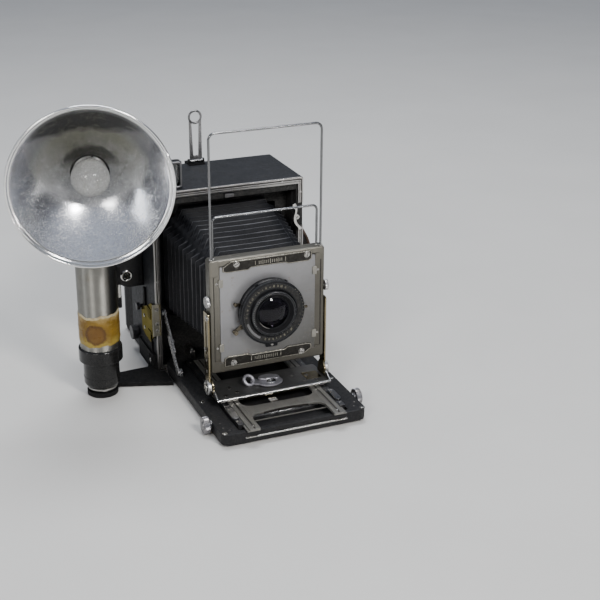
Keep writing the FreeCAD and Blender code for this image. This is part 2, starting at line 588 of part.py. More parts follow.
for s in (-1, 1):
    for yc, sg in ((-143.0, 1), (-159.0, -1)):
        R = 10.0
        a, b = sx(s, LEG_IN - R, LEG_IN + 0.2)
        y0, y1 = (yc - 0.2, yc + R) if sg > 0 else (yc - R, yc + 0.2)
        web = cut(box(a, b, y0, y1, TRACK_Z0, TRACK_Z1), cyl_z(s * (LEG_IN - R), yc + sg * R, R, 10, 20))
        track = track.fuse(web)
track = cut(track, cyl_z(0, -179.0, 25.0, 10, 20), box(-7, 7, -149, -146.6, 10, 20))
save("focus_track", track.removeSplitter())

for name, s in (("infinity_stop_left", -1), ("infinity_stop_right", 1)):
    pill = fuse(link("z", (s * 55, -144), (s * 55, -161.5), 3.5, 17.2, 18.8), cyl_z(s * 55, -144, 1.6, 16.96, 18.9))
    save(name, pill)

# ================================================================ FRONT STANDARD
car = round_along(box(-50, 50, -128, -88, 17.3, 19.3), "z", 3)
for s in (-1, 1):
    car = fuse(car, sbox(s, 36.6, 38.6, -111, -97, 12.7, 17.5), sbox(s, 36.6, 41.2, -111, -97, 12.7, 14.2))
car = fuse(car, cyl_z(2, -110, 3.0, 19.0, 26.4))
save("standard_carriage", car)

ll = Part.makeCylinder(12.0, 3.7, V(0, 0, 0), V(0, 0, 1))
m = FreeCAD.Matrix()
m.scale(1.0, 0.84, 1.0)
ll = ll.transformGeometry(m)
ll.translate(V(2, -110, 21.8))
ll = fuse(ll, path_bar("z", [(-6, -108), (-15, -105.5)], 3.0, 21.8, 24.2), cyl_z(-20, -104, 5.5, 21.8, 24.2), cyl_z(2, -110, 6.0, 25.3, 27.0))
ll = cut(ll, cyl_z(-20, -104, 3.2, 20, 28), cyl_z(2, -110, 3.0 + BORE_GAP, 20, 28))
save("lock_lever", ll)

base = round_along(box(-61.8, 61.8, -127, -85, 19.6, 21.2), "z", 3, lambda c: c.y > -90)
base = fuse(base, box(-61.8, 61.8, -129.0, -126.8, 19.7, 21.2), round_along(box(-61.8, 61.8, -130.0, -128.5, 19.2, 22.4), "x", 0.5))
for s in (-1, 1):
    wall = fuse(sbox(s, 60.2, 61.8, -117.5, -98.5, 20.8, 28), scyl(s, TILT_Y, TILT_Z + 1, 8.4, 60.2, 61.8))
    wall = cut(wall, box(-70, 70, -130, -80, 10, 20.8))
    base = fuse(base, wall, scyl(s, TILT_Y, TILT_Z, 2.0, 61.6, 66.9))
base = fuse(base, box(-34, 36, -129.8, -128.6, 17.5, 19.6))
base = cut(base, link("z", (-6.2, -110), (10.2, -110), 3.5, 18, 23))
for x, y in ((-52, -120.5), (-47, -108), (-44, -108), (52, -120.5), (47.5, -120.5)):
    base = fuse(base, cyl_z(x, y, 1.9, 21.0, 22.0))
save("standard_base", base)

ups = []
for s in (-1, 1):
    a, b = sx(s, 62.2, 63.7)
    st = prism("x", [(-111, TILT_Z), (-111, 106.5), (-109.5, 108), (-99, 108), (-97.5, 106.5), (-97.5, 40), (-101.5, TILT_Z + 1.5)], a, b)
    st = fuse(st, scyl(s, TILT_Y, TILT_Z, 8.0, 62.2, 66.2))
    st = fuse(st, scyl(s, -108.6, 103.5, 3.0, 63.6, 64.8))
    st = cut(st, link("x", (-104, 64), (-104, 96), 1.65, a - 1, b + 1), scyl(s, TILT_Y, TILT_Z, 2.0 + BORE_GAP, 60, 70))
    ups.append(st)
save("standard_uprights", *ups)

# lens frame: recess for the board, light opening, side channels, wire bores
fr = round_along(box(-FRAME_HW, FRAME_HW, FRAME_Y0, FRAME_Y1, FRAME_Z0, FRAME_Z1), "y", 2.2)
fr = round_along(fr, "z", 1.2, lambda c: c.y < FRAME_Y0 + 1)
bh = BOARD / 2 + 0.1
fr = cut(fr, box(-bh, bh, FRAME_Y0 - 1, FRAME_Y0 + BOARD_T, BOARD_CZ - bh, BOARD_CZ + bh), box(-46, 46, -115, -95, 60, 150))
for s in (-1, 1):
    fr = cut(
        fr,
        sbox(s, 52.4, 56.6, FRAME_Y0 - 1, FRAME_Y0 + 0.7, 56, 149.4),
        sbox(s, 51.6, 61.5, FRAME_Y0 - 1, FRAME_Y0 + 0.25, 149.8, 150.2),
        sbox(s, 51.6, 61.5, FRAME_Y0 - 1, FRAME_Y0 + 0.25, 55.2, 55.6),
        cyl_z(s * 58, -107.5, WIRE_R + BORE_GAP, 44.2, 170),
        cyl_z(s * 55, -104.2, WIRE_R + BORE_GAP, 101, 170),
        scyl(s, -108.6, 120.5, 2.0 + BORE_GAP, 59.5, 62),
    )
    for z in (139.0, 70.0):
        fr = fuse(fr, sbox(s, 46.5, 52.2, FRAME_Y0 - 0.9, FRAME_Y0, z - 4, z + 4), sbox(s, 51.2, 52.2, FRAME_Y0 - 0.9, FRAME_Y0 + 1, z - 4, z + 4))
    fr = fuse(fr, scyl(s, -104, 68, 1.2, 60.8, 64.4), scyl(s, -104, 68, 2.7, 64.1, 65.2))
for x, z in ((-33.8, 157.8), (41.0, 157.8), (-37.9, 52.6), (35.8, 52.6)):
    fr = cut(fr, cyl_y(x, z, 1.2, FRAME_Y0 - 1, FRAME_Y0 + 5))
save("front_frame", fr)

bd = box(-BOARD / 2, BOARD / 2, FRAME_Y0, FRAME_Y0 + BOARD_T, BOARD_CZ - BOARD / 2, BOARD_CZ + BOARD / 2)
bd = round_along(bd, "y", 1.5)
save("lens_board", cut(bd, cyl_y(LENS_X, LENS_Z, 25.0, -115, -100)))

# leaf shutter and lens
sh = fuse(
    cyl_y(LENS_X, LENS_Z, 31.0, -116.7, -111.5),
    cyl_y(LENS_X, LENS_Z, 33.5, -121.0, -116.5),
    cyl_y(LENS_X, LENS_Z, 25.0, -111.6, -102.5),
)
sh = fuse(sh, box(LENS_X - 6, LENS_X + 6, -121.0, -116.5, LENS_Z - 38.5, LENS_Z - 32))
sh = cut(sh, cyl_y(LENS_X, LENS_Z, 20.0, -122, -100))
ring = cut(cyl_y(LENS_X, LENS_Z, 29.0, -107.5, -105.2), cyl_y(LENS_X, LENS_Z, 25.0, -108, -104))
save("shutter_case", sh, ring)
lb = cut(cyl_y(LENS_X, LENS_Z, 23.8, -128.0, -121.0), cyl_y(LENS_X, LENS_Z, 17.5, -129, -120))
lb = cut(lb, Part.makeCone(20.6, 17.5, 4.0, V(LENS_X, -128.0, LENS_Z), V(0, 1, 0)))
save("lens_barrel", lb)
g1 = cyl_y(LENS_X, LENS_Z, 17.5, -124.0, -121.2)
dome = Part.makeSphere(36.0, V(LENS_X, -124.0 + 31.46, LENS_Z)).common(box(-30, 30, -130, -123.9, 80, 130)).common(cyl_y(LENS_X, LENS_Z, 17.5, -130, -120))
g1 = fuse(g1, dome)
g2 = cyl_y(LENS_X, LENS_Z, 20.0, -108.5, -105.0)
save("lens_glass", g1, g2)
blades = []
for k in range(5):
    a0, a1 = 2 * math.pi * k / 5, 2 * math.pi * (k + 1) / 5
    pts = [(LENS_X, LENS_Z)] + [(LENS_X + 19.9 * math.cos(a0 + (a1 - a0) * i / 8), LENS_Z + 19.9 * math.sin(a0 + (a1 - a0) * i / 8)) for i in range(9)]
    blades.append(prism("y", pts, -118.4, -118.0))
save("shutter_blades", *blades)

# screws that hold and guide the two slides of the lens board
scr = []
for x, z in ((-33.8, 157.8), (41.0, 157.8), (-37.9, 52.6), (35.8, 52.6)):
    c = fuse(cyl_y(x, z, 1.2, -113.6, FRAME_Y0 + 5), cyl_y(x, z, 2.9, -114.4, -113.4))
    scr.append(cut(c, box(x - 3, x + 3, -114.6, -114.0, z - 0.35, z + 0.35)))
save("slide_screws", *scr)

up_out = [(-48, 152.7), (-48, 156.0), (-39.5, 161.2), (46.6, 161.2), (46.6, 154.5), (43, 152.4), (21, 152.4), (18, 154.2), (-18, 154.2), (-21, 152.0), (-44, 152.0)]
up = prism("y", up_out, -113.0, -111.8)
for x in (-33.8, 41.0):
    up = cut(up, link("y", (x, 157.8 + 0.3), (x, 157.8 - 5.3), 1.6, -114, -111))
save("board_slide_upper", up)
cz = (157.8 + 52.6) / 2
lo_out = [(-x - 1, 2 * cz - z) for x, z in up_out]
lo = prism("y", lo_out, -113.0, -111.8)
for x in (-37.9, 35.8):
    lo = cut(lo, link("y", (x, 52.6 - 0.3), (x, 52.6 + 5.3), 1.6, -114, -111))
save("board_slide_lower", lo)

rk = []
for s in (-1, 1):
    a, b = sx(s, 61.4, 65.4)
    k = fuse(knurled_x(-108.6, 120.5, 5.8, a, b, 30, 0.3), scyl(s, -108.6, 120.5, 2.0, 59.7, 61.6))
    rk.append(k)
save("rise_knobs", *rk)


# bent wire frame: legs, top bar and two quarter bends
def wire_frame(hx, y, z_top, z_bot, bend):
    zt = z_top - WIRE_R
    parts = [cyl_z(-hx, y, WIRE_R, z_bot, zt - bend), cyl_z(hx, y, WIRE_R, z_bot, zt - bend), cyl_x(y, zt, WIRE_R, -hx + bend, hx - bend)]
    for s in (-1, 1):
        c = V(s * (hx - bend), y, zt - bend)
        circ = Part.Face(Part.Wire([Part.makeCircle(WIRE_R, V(s * hx, y, zt - bend), V(0, 0, 1))]))
        parts.append(circ.revolve(c, V(0, -s, 0), 90))
    return fuse(*parts)


save("wire_finder", wire_frame(58, -107.5, 290.3, 150, 6.5))
save("wire_mask", wire_frame(55, -104.2, 206.3, 140, 5.0))

# speed ring and the levers round the shutter neck
sr = cut(cyl_y(LENS_X, LENS_Z, 34.0, -125.0, -121.3), cyl_y(LENS_X, LENS_Z, 24.5, -126, -120))
sr = cut(sr, cut(cyl_y(LENS_X, LENS_Z, 30.5, -125.2, -124.5), cyl_y(LENS_X, LENS_Z, 26.0, -126, -120)))
for i in range(48):
    a = 2 * math.pi * i / 48
    sr = cut(sr, cyl_y(LENS_X + 34.3 * math.cos(a), LENS_Z + 34.3 * math.sin(a), 0.75, -126, -120))
save("speed_ring", sr)


def lever_ring(y0, y1, r, ang, r_out, w, tab_w):
    a = math.radians(ang)
    o = cut(cyl_y(LENS_X, LENS_Z, r, y0, y1), cyl_y(LENS_X, LENS_Z, 31.3, y0 - 1, y1 + 1))
    p = (LENS_X + 32.2 * math.cos(a), LENS_Z + 32.2 * math.sin(a))
    q = (LENS_X + r_out * math.cos(a), LENS_Z + r_out * math.sin(a))
    o = fuse(o, cut(link("y", p, q, w, y0, y1), cyl_y(LENS_X, LENS_Z, 31.3, y0 - 1, y1 + 1)))
    return o, q, a


cl, q, a = lever_ring(-113.0, -111.9, 33.0, 208, 41.5, 2.4, 6)
cl = fuse(cl, cyl_y(q[0], q[1], 2.4, -117.5, -112.0))
save("cocking_lever", cl)
rl, q, a = lever_ring(-114.5, -113.4, 33.0, 164, 38.0, 2.0, 5)
rl = fuse(rl, cyl_y(q[0], q[1], 2.0, -117.0, -113.5))
save("release_lever", rl)
al, q, a = lever_ring(-116.0, -114.9, 33.0, 356, 39.5, 1.6, 4)
save("aperture_lever", al)

# ================================================================ FLASH GUN
case = fuse(cyl_z(GUN_X, GUN_Y, TUBE_R, 39, 172), cyl_z(GUN_X, GUN_Y, 22.5, 39, 54))
case = cut(case, cyl_z(GUN_X, GUN_Y, TUBE_BORE, 38, 173), cyl_y(GUN_X, 156, 4.0 + BORE_GAP, -6, 6))
save("battery_case", case)

cells = []
for z0 in (21.0, 82.5):
    cells.append(fuse(cyl_z(GUN_X, GUN_Y, 16.5, z0, z0 + 59.3), cyl_z(GUN_X, GUN_Y, 4.8, z0 + 59.2, z0 + 61.5)))
save("batteries", *cells)


def bowl_profile(off):
    # inner face of the reflector, moved outward by off along its normal, as (r, d)
    d0 = BOWL_D - BOWL_R * BOWL_R / BOWL_K
    out = []
    for i in range(25):
        r = 19.0 + (BOWL_R - 19.0) * i / 24
        d = d0 + r * r / BOWL_K
        nr, nd = 1.0, -BOWL_K / (2 * r)
        L = math.hypot(nr, nd)
        out.append((r + off * nr / L, d + off * nd / L))
    return out


def spline_rz(pts):
    c = Part.BSplineCurve()
    c.interpolate([V(r, 0, d) for r, d in pts])
    return c.toShape(), V(pts[0][0], 0, pts[0][1]), V(pts[-1][0], 0, pts[-1][1])


# head: tube carried up behind the reflector, hollowed to clear its back
ci, a0, a1 = spline_rz(bowl_profile(0.0))
co, b0, b1 = spline_rz(bowl_profile(BOWL_T))
sheet = Part.Face(Part.Wire([ci, Part.makeLine(a1, b1), co, Part.makeLine(b0, a0)])).revolve(V(0, 0, 0), V(0, 0, 1), 360)
neck_in, neck_d = 19.0, a0.z
neck = disc_d(19.8, -6.0, neck_d).cut(disc_d(19.0, -7.0, neck_d + 1))
rim = Part.makeTorus(BOWL_R + 0.3, 1.3, V(0, 0, BOWL_D), V(0, 0, 1))
refl = sheet.fuse(neck).fuse(rim).removeSplitter()
save("reflector", gun(refl))

cg, g0, g1_ = spline_rz(bowl_profile(1.15))
solid_bowl = Part.Face(Part.Wire([cg, Part.makeLine(g1_, V(0, 0, g1_.z)), Part.makeLine(V(0, 0, g1_.z), V(0, 0, g0.z)), Part.makeLine(V(0, 0, g0.z), g0)])).revolve(V(0, 0, 0), V(0, 0, 1), 360)
head = cyl_z(GUN_X, GUN_Y, TUBE_R, 172, 255)
cap_top = Part.makeCone(TUBE_R, 16.0, 5.0, V(GUN_X, GUN_Y, 254.9), V(0, 0, 1))
head = head.fuse(cap_top)
head = head.cut(gun(solid_bowl)).cut(gun(disc_d(20.2, -6.0, 40.0)))
head = head.fuse(gun(disc_d(19.0, -9.0, -2.6)))
head = head.cut(gun(disc_d(9.0, -17.6, 30.0))).cut(gun(disc_d(3.06, -30.0, -17.0)))
head = max(head.Solids, key=lambda s: s.Volume)
head = head.cut(cyl_z(GUN_X, GUN_Y, TUBE_BORE - 1.4, 160, 188))
spigot = cut(cyl_z(GUN_X, GUN_Y, TUBE_BORE, 166, 172.2), cyl_z(GUN_X, GUN_Y, TUBE_BORE - 1.4, 160, 180))
save("flash_head", head.fuse(spigot).removeSplitter())

bulb = Part.makeSphere(BULB_R, V(0, 0, BULB_D)).fuse(disc_d(7.5, -16.0, 0.0))
save("flash_bulb", gun(bulb.removeSplitter()))
save("ejector_button", gun(disc_d(5.0, -27.0, -25.0).fuse(disc_d(3.0, -25.1, -19.4)).removeSplitter()))

tb = fuse(cyl_y(GUN_X, 156, 4.0, -5.2, 2.6), cyl_y(GUN_X, 156, 5.2, -5.6, -4.2))
save("trigger_button", tb)

cap = fuse(cyl_z(GUN_X, GUN_Y, 18.5, 11, 38.7), cyl_z(GUN_X, GUN_Y, 14.2, 4.8, 11.2), cyl_z(GUN_X, GUN_Y, 19.1, 38.5, 45.0).cut(cyl_z(GUN_X, GUN_Y, 16.9, 30, 50)))
cap = cut(cap, cyl_z(GUN_X, GUN_Y, 16.9, 20.7, 50))
cap = cut(cap, cut(cyl_z(GUN_X, GUN_Y, 20.0, 38.7 - 0.2, 39.3), cyl_z(GUN_X, GUN_Y, 18.6, 38, 40)))
save("end_cap", cap)
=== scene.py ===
import json
import math
import random

import bmesh
import bpy
import numpy as np
from mathutils import Matrix, Vector

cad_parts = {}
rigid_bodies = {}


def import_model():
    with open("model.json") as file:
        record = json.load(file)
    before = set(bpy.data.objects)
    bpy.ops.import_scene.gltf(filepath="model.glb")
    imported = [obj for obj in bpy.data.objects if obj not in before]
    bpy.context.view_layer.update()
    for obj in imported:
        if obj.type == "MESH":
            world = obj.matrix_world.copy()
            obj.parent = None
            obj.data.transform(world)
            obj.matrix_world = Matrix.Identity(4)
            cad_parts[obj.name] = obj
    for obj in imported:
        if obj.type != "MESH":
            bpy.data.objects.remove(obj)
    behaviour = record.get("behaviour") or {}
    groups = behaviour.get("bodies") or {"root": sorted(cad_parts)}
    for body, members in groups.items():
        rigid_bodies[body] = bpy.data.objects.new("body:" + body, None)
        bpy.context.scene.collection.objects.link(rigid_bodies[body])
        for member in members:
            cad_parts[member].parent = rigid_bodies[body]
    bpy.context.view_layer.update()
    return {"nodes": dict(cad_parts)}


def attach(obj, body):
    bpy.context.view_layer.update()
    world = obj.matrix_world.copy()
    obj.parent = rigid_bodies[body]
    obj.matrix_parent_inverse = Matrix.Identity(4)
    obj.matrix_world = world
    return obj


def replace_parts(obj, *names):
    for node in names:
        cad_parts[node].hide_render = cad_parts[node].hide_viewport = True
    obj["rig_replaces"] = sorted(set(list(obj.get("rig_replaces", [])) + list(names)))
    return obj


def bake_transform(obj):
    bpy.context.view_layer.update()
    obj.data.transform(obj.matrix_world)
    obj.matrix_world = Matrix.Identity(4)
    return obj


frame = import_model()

OY = -40.0            # the part's origin is at y = 40 of the working axes used below, in millimetres
TAU = 2 * math.pi
rad = math.radians


def W(p):
    return (p[0] * 0.001, (p[1] + OY) * 0.001, p[2] * 0.001)


# ------------------------------------------------------------------ node helpers
class Mat:
    """A node material under construction. Lengths are given in millimetres of the object."""

    def __init__(self, name):
        self.m = bpy.data.materials.new(name)
        self.m.use_nodes = True
        self.t = self.m.node_tree
        self.t.nodes.clear()
        self.out = self.t.nodes.new("ShaderNodeOutputMaterial")
        self.b = self.t.nodes.new("ShaderNodeBsdfPrincipled")
        self.t.links.new(self.b.outputs[0], self.out.inputs[0])
        self.co = self.t.nodes.new("ShaderNodeTexCoord").outputs["Object"]
        self.h = None

    def node(self, kind, props=None, **ins):
        n = self.t.nodes.new("ShaderNode" + kind)
        for k, v in (props or {}).items():
            setattr(n, k, v)
        for k, v in ins.items():
            key = k.replace("_", " ")
            s = n.inputs[int(key[1:])] if key[0] == "i" and key[1:].isdigit() else n.inputs[key]
            self.put(s, v)
        return n

    def put(self, s, v):
        if isinstance(v, bpy.types.NodeSocket):
            self.t.links.new(v, s)
        elif isinstance(v, (tuple, list)) and len(v) == 3 and s.type == "RGBA":
            s.default_value = (*v, 1)
        else:
            s.default_value = v

    def set(self, **ins):
        for k, v in ins.items():
            self.put(self.b.inputs[k.replace("_", " ")], v)
        return self

    def coords(self, stretch=(1, 1, 1), turn=(0, 0, 0), move=(0, 0, 0)):
        if stretch == (1, 1, 1) and turn == (0, 0, 0) and move == (0, 0, 0):
            return self.co
        m = self.node("Mapping", Vector=self.co)
        m.inputs["Scale"].default_value = stretch
        m.inputs["Rotation"].default_value = turn
        m.inputs["Location"].default_value = tuple(x * 0.001 for x in move)
        return m.outputs[0]

    def noise(self, size, detail=4.0, rough=0.55, stretch=(1, 1, 1), distort=0.0, turn=(0, 0, 0), co=None):
        n = self.node("TexNoise", Vector=co or self.coords(stretch, turn), Scale=1000.0 / size, Detail=detail, Roughness=rough, Distortion=distort)
        return n.outputs["Fac"] if "Fac" in n.outputs else n.outputs[0]

    def cells(self, size, feature="F1", rand=1.0, stretch=(1, 1, 1), turn=(0, 0, 0), out="Distance", co=None):
        n = self.node("TexVoronoi", {"feature": feature}, Vector=co or self.coords(stretch, turn), Scale=1000.0 / size)
        if "Randomness" in n.inputs:
            n.inputs["Randomness"].default_value = rand
        return n.outputs[out]

    def ramp(self, x, lo, hi, a=0.0, b=1.0, clamp=True):
        n = self.node("MapRange", {"clamp": clamp})
        self.put(n.inputs["Value"], x)
        for k, v in (("From Min", lo), ("From Max", hi), ("To Min", a), ("To Max", b)):
            n.inputs[k].default_value = v
        return n.outputs[0]

    def math(self, op, a, b=0.0):
        n = self.node("Math", {"operation": op})
        self.put(n.inputs[0], a)
        self.put(n.inputs[1], b)
        return n.outputs[0]

    def mixc(self, f, a, b, how="MIX"):
        n = self.node("Mix", {"data_type": "RGBA", "blend_type": how})
        self.put(n.inputs[0], f)
        self.put(n.inputs[6], a if isinstance(a, bpy.types.NodeSocket) else (*a, 1))
        self.put(n.inputs[7], b if isinstance(b, bpy.types.NodeSocket) else (*b, 1))
        return n.outputs[2]

    def along(self, axis):
        # one coordinate of the row frame, in metres
        n = self.node("SeparateXYZ", Vector=self.co)
        return n.outputs["XYZ".index(axis)]

    def bump(self, height, depth, strength=1.0):
        # depth in millimetres for a height of 1
        n = self.node("Bump", Height=height, Strength=strength, Distance=depth * 0.001)
        if self.h is not None:
            self.t.links.new(self.h, n.inputs["Normal"])
        self.h = n.outputs[0]
        self.t.links.new(self.h, self.b.inputs["Normal"])
        return self

    def base(self, col, var=0.12, size=9.0, tint=None, tint_at=(0.55, 0.75), tint_size=14.0, tint_max=1.0, detail=5.0):
        lo = tuple(c * (1 - var) for c in col)
        hi = tuple(min(1.0, c * (1 + var)) for c in col)
        c = self.mixc(self.ramp(self.noise(size, detail), 0.32, 0.68), lo, hi)
        if tint:
            c = self.mixc(self.ramp(self.noise(tint_size, 6.0, 0.6), tint_at[0], tint_at[1], 0, tint_max), c, tint)
        self.put(self.b.inputs["Base Color"], c)
        self.col = c
        return self

    def tone(self, f, col, how="MIX"):
        self.col = self.mixc(f, self.col, col, how)
        self.put(self.b.inputs["Base Color"], self.col)
        return self

    def rough(self, r, var=0.06, size=6.0, extra=None):
        x = self.ramp(self.noise(size, 6.0, 0.65), 0.3, 0.7, r - var, r + var)
        if extra is not None:
            x = self.math("ADD", x, extra)
        self.put(self.b.inputs["Roughness"], x)
        self.rgh = x
        return self


MATS = {}


def metal(name, col, rough=0.25, var=0.06, rvar=0.08, hair=None, hair_depth=0.004, pits=0.0, tint=None, tint_at=(0.6, 0.8), tint_max=0.6, dirt=0.0, size=8.0, metallic=1.0, coat=0.0):
    """Metal with tone variation, fine scratches, small pits and dull grime."""
    m = Mat(name)
    m.set(Metallic=metallic)
    m.base(col, var, size, tint, tint_at, 11.0, tint_max)
    extra = None
    if hair:
        s = m.noise(0.9, 3.0, 0.6, stretch=hair)
        extra = m.ramp(s, 0.35, 0.75, -0.04, 0.09)
        m.bump(s, hair_depth)
    scr = m.ramp(m.noise(0.5, 2.0, 0.5, stretch=(0.05, 1.0, 1.3), turn=(0.4, 0.9, 0.3)), 0.62, 0.7)
    m.bump(scr, -0.006, 0.6)
    if pits:
        p = m.ramp(m.noise(1.4, 6.0, 0.7), 0.62, 0.74)
        m.bump(p, -pits)
        m.tone(m.math("MULTIPLY", p, 0.5), tuple(c * 0.35 for c in col))
    if dirt:
        d = m.ramp(m.noise(5.0, 7.0, 0.7), 0.5, 0.72, 0, dirt)
        m.tone(d, (0.035, 0.03, 0.024))
        extra = m.math("ADD", extra, m.math("MULTIPLY", d, 0.25)) if extra is not None else m.math("MULTIPLY", d, 0.25)
    m.rough(rough, rvar, 5.0, extra)
    if coat:
        m.set(Coat_Weight=coat, Coat_Roughness=0.12)
    MATS[name] = m.m
    return m


def paint(name, col, rough=0.45, grain=0.6, depth=0.02, var=0.15, rvar=0.08, dust=0.0, rub=None, rub_at=(0.68, 0.8), spec=0.5, wrinkle=0.0, coat=0.0):
    """Painted or moulded dark surface: fine grain, rubbed patches and dust."""
    m = Mat(name)
    m.base(col, var, 7.0)
    g = m.noise(grain, 4.0, 0.6)
    m.bump(g, depth)
    if wrinkle:
        w = m.cells(wrinkle, "SMOOTH_F1", 1.0)
        m.bump(w, wrinkle * 0.16)
    extra = m.ramp(g, 0.3, 0.7, -0.05, 0.05)
    if rub:
        r = m.ramp(m.noise(3.2, 7.0, 0.72), rub_at[0], rub_at[1])
        m.tone(r, rub)
        extra = m.math("ADD", extra, m.math("MULTIPLY", r, -0.12))
    if dust:
        d = m.ramp(m.noise(2.6, 8.0, 0.75), 0.45, 0.8, 0, dust)
        m.tone(d, (0.42, 0.4, 0.36))
    m.rough(rough, rvar, 4.0, extra)
    m.set(Specular_IOR_Level=spec)
    if coat:
        m.set(Coat_Weight=coat, Coat_Roughness=0.1)
    MATS[name] = m.m
    return m


# ------------------------------------------------------------------ mesh helpers (millimetres, working axes)
class Geo:
    def __init__(self):
        self.v, self.f, self.m = [], [], []

    def add(self, verts, faces, mat=0):
        o = len(self.v)
        self.v += [tuple(p) for p in verts]
        for f in faces:
            self.f.append(tuple(i + o for i in f))
            self.m.append(mat)
        return self

    def grid(self, rings, close=True, mat=0, cap0=False, cap1=False, loop=False):
        # rings of equal length; mat may be a function of the ring number
        n = len(rings[0])
        vs = [p for r in rings for p in r]
        k = len(rings)
        for i in range(k if loop else k - 1):
            a0, b0 = i * n, ((i + 1) % k) * n
            fs = []
            for j in range(n if close else n - 1):
                j2 = (j + 1) % n
                fs.append((a0 + j, a0 + j2, b0 + j2, b0 + j))
            if i == 0:
                o = len(self.v)
                self.v += [tuple(p) for p in vs]
            for f in fs:
                self.f.append(tuple(x + o for x in f))
                self.m.append(mat(i) if callable(mat) else mat)
        if cap0:
            self.f.append(tuple(o + x for x in reversed(range(n))))
            self.m.append(mat(0) if callable(mat) else mat)
        if cap1:
            self.f.append(tuple(o + (k - 1) * n + x for x in range(n)))
            self.m.append(mat(k - 2) if callable(mat) else mat)
        return self

    def merge(self, other):
        return self.add(other.v, [], 0) if False else self._merge(other)

    def _merge(self, other):
        o = len(self.v)
        self.v += other.v
        self.f += [tuple(i + o for i in f) for f in other.f]
        self.m += other.m
        return self


def box(g, x0, x1, y0, y1, z0, z1, mat=0):
    v = [(x, y, z) for x in (x0, x1) for y in (y0, y1) for z in (z0, z1)]
    return g.add(v, [(0, 1, 3, 2), (4, 6, 7, 5), (0, 4, 5, 1), (2, 3, 7, 6), (0, 2, 6, 4), (1, 5, 7, 3)], mat)


def basis(n):
    n = Vector(n).normalized()
    a = Vector((0, 0, 1)) if abs(n.z) < 0.9 else Vector((1, 0, 0))
    u = a.cross(n).normalized()
    return u, n.cross(u).normalized(), n


def rev(g, c, n, prof, seg=48, mat=0, rmod=None, close=False, up=None):
    # prof: (radius, distance along n); rmod(angle, index) scales the radius
    u, v, n = basis(n)
    if up is not None:
        v = (Vector(up) - n * n.dot(Vector(up))).normalized()
        u = v.cross(n)
    c = Vector(c)
    rings = []
    for i, (r, a) in enumerate(prof):
        ring = []
        for k in range(seg):
            t = TAU * k / seg
            q = max(r, 1e-4) * (rmod(t, i) if rmod else 1.0)
            ring.append(tuple(c + n * a + (u * math.cos(t) + v * math.sin(t)) * q))
        rings.append(ring)
    return g.grid(rings, True, mat, cap0=(not close and prof[0][0] > 0), cap1=(not close and prof[-1][0] > 0), loop=close)


def soft(prof, r, n=3, closed=False):
    # round the corners of a profile (2-D points) by r, with n pieces each
    out = []
    k = len(prof)
    for i, p in enumerate(prof):
        if not closed and i in (0, k - 1):
            out.append(tuple(p))
            continue
        a, b, c = Vector(prof[i - 1]), Vector(p), Vector(prof[(i + 1) % k])
        da, dc = a - b, c - b
        if da.length < 1e-9 or dc.length < 1e-9:
            out.append(tuple(p))
            continue
        q = min(r, da.length * 0.45, dc.length * 0.45)
        if da.normalized().dot(dc.normalized()) < -0.985:
            out.append(tuple(p))
            continue
        s, e = b + da.normalized() * q, b + dc.normalized() * q
        for j in range(n + 1):
            t = j / n
            out.append(tuple(s * (1 - t) ** 2 + b * 2 * t * (1 - t) + e * t * t))
    return out


def cyl(g, p, q, r, r2=None, seg=32, mat=0, bev=0.25):
    p, q = Vector(p), Vector(q)
    L = (q - p).length
    r2 = r if r2 is None else r2
    prof = [(0, 0)] + soft([(0, 0), (r, 0), (r2, L), (0, L)], min(bev, r * 0.3, L * 0.3), 2)[1:-1] + [(0, L)] if bev else [(0, 0), (r, 0), (r2, L), (0, L)]
    return rev(g, p, q - p, prof, seg, mat)


def prism(g, axis, pts, a0, a1, mat=0):
    f = {"x": lambda u, v, a: (a, u, v), "y": lambda u, v, a: (u, a, v), "z": lambda u, v, a: (u, v, a)}[axis]
    n = len(pts)
    vs = [f(u, v, a0) for u, v in pts] + [f(u, v, a1) for u, v in pts]
    fs = [tuple(range(n)), tuple(range(2 * n - 1, n - 1, -1))] + [(i, (i + 1) % n, n + (i + 1) % n, n + i) for i in range(n)]
    return g.add(vs, fs, mat)


def arc(cx, cy, r, a0, a1, n=8):
    return [(cx + r * math.cos(rad(a0 + (a1 - a0) * i / n)), cy + r * math.sin(rad(a0 + (a1 - a0) * i / n))) for i in range(n + 1)]


def capsule(p, q, r, n=10):
    a = math.degrees(math.atan2(q[1] - p[1], q[0] - p[0]))
    return arc(q[0], q[1], r, a - 90, a + 90, n) + arc(p[0], p[1], r, a + 90, a + 270, n)


def rrect(x0, x1, z0, z1, r, n=5):
    r = max(0.02, min(r, (x1 - x0) / 2 - 1e-3, (z1 - z0) / 2 - 1e-3))
    out = []
    for cx, cz, a in ((x1 - r, z1 - r, 0), (x0 + r, z1 - r, 90), (x0 + r, z0 + r, 180), (x1 - r, z0 + r, 270)):
        out += arc(cx, cz, r, a, a + 90, n)
    return out


def at(axis, pts, a):
    f = {"x": lambda u, v: (a, u, v), "y": lambda u, v: (u, a, v), "z": lambda u, v: (u, v, a)}[axis]
    return [f(u, v) for u, v in pts]


def tube(g, path, r, seg=12, mat=0, caps=True, close=False, flat=1.0):
    P = [Vector(p) for p in path]
    n = len(P)
    T = []
    for i in range(n):
        a = P[i - 1] if (i > 0 or close) else P[i]
        b = P[(i + 1) % n] if (i < n - 1 or close) else P[i]
        T.append((b - a).normalized())
    u = basis(T[0])[0]
    rings = []
    for i in range(n):
        u = (u - T[i] * u.dot(T[i])).normalized()
        v = T[i].cross(u)
        q = r[i] if isinstance(r, (list, tuple)) else r
        rings.append([tuple(P[i] + (u * math.cos(TAU * k / seg) + v * math.sin(TAU * k / seg) * flat) * q) for k in range(seg)])
    return g.grid(rings, True, mat, cap0=caps and not close, cap1=caps and not close, loop=close)


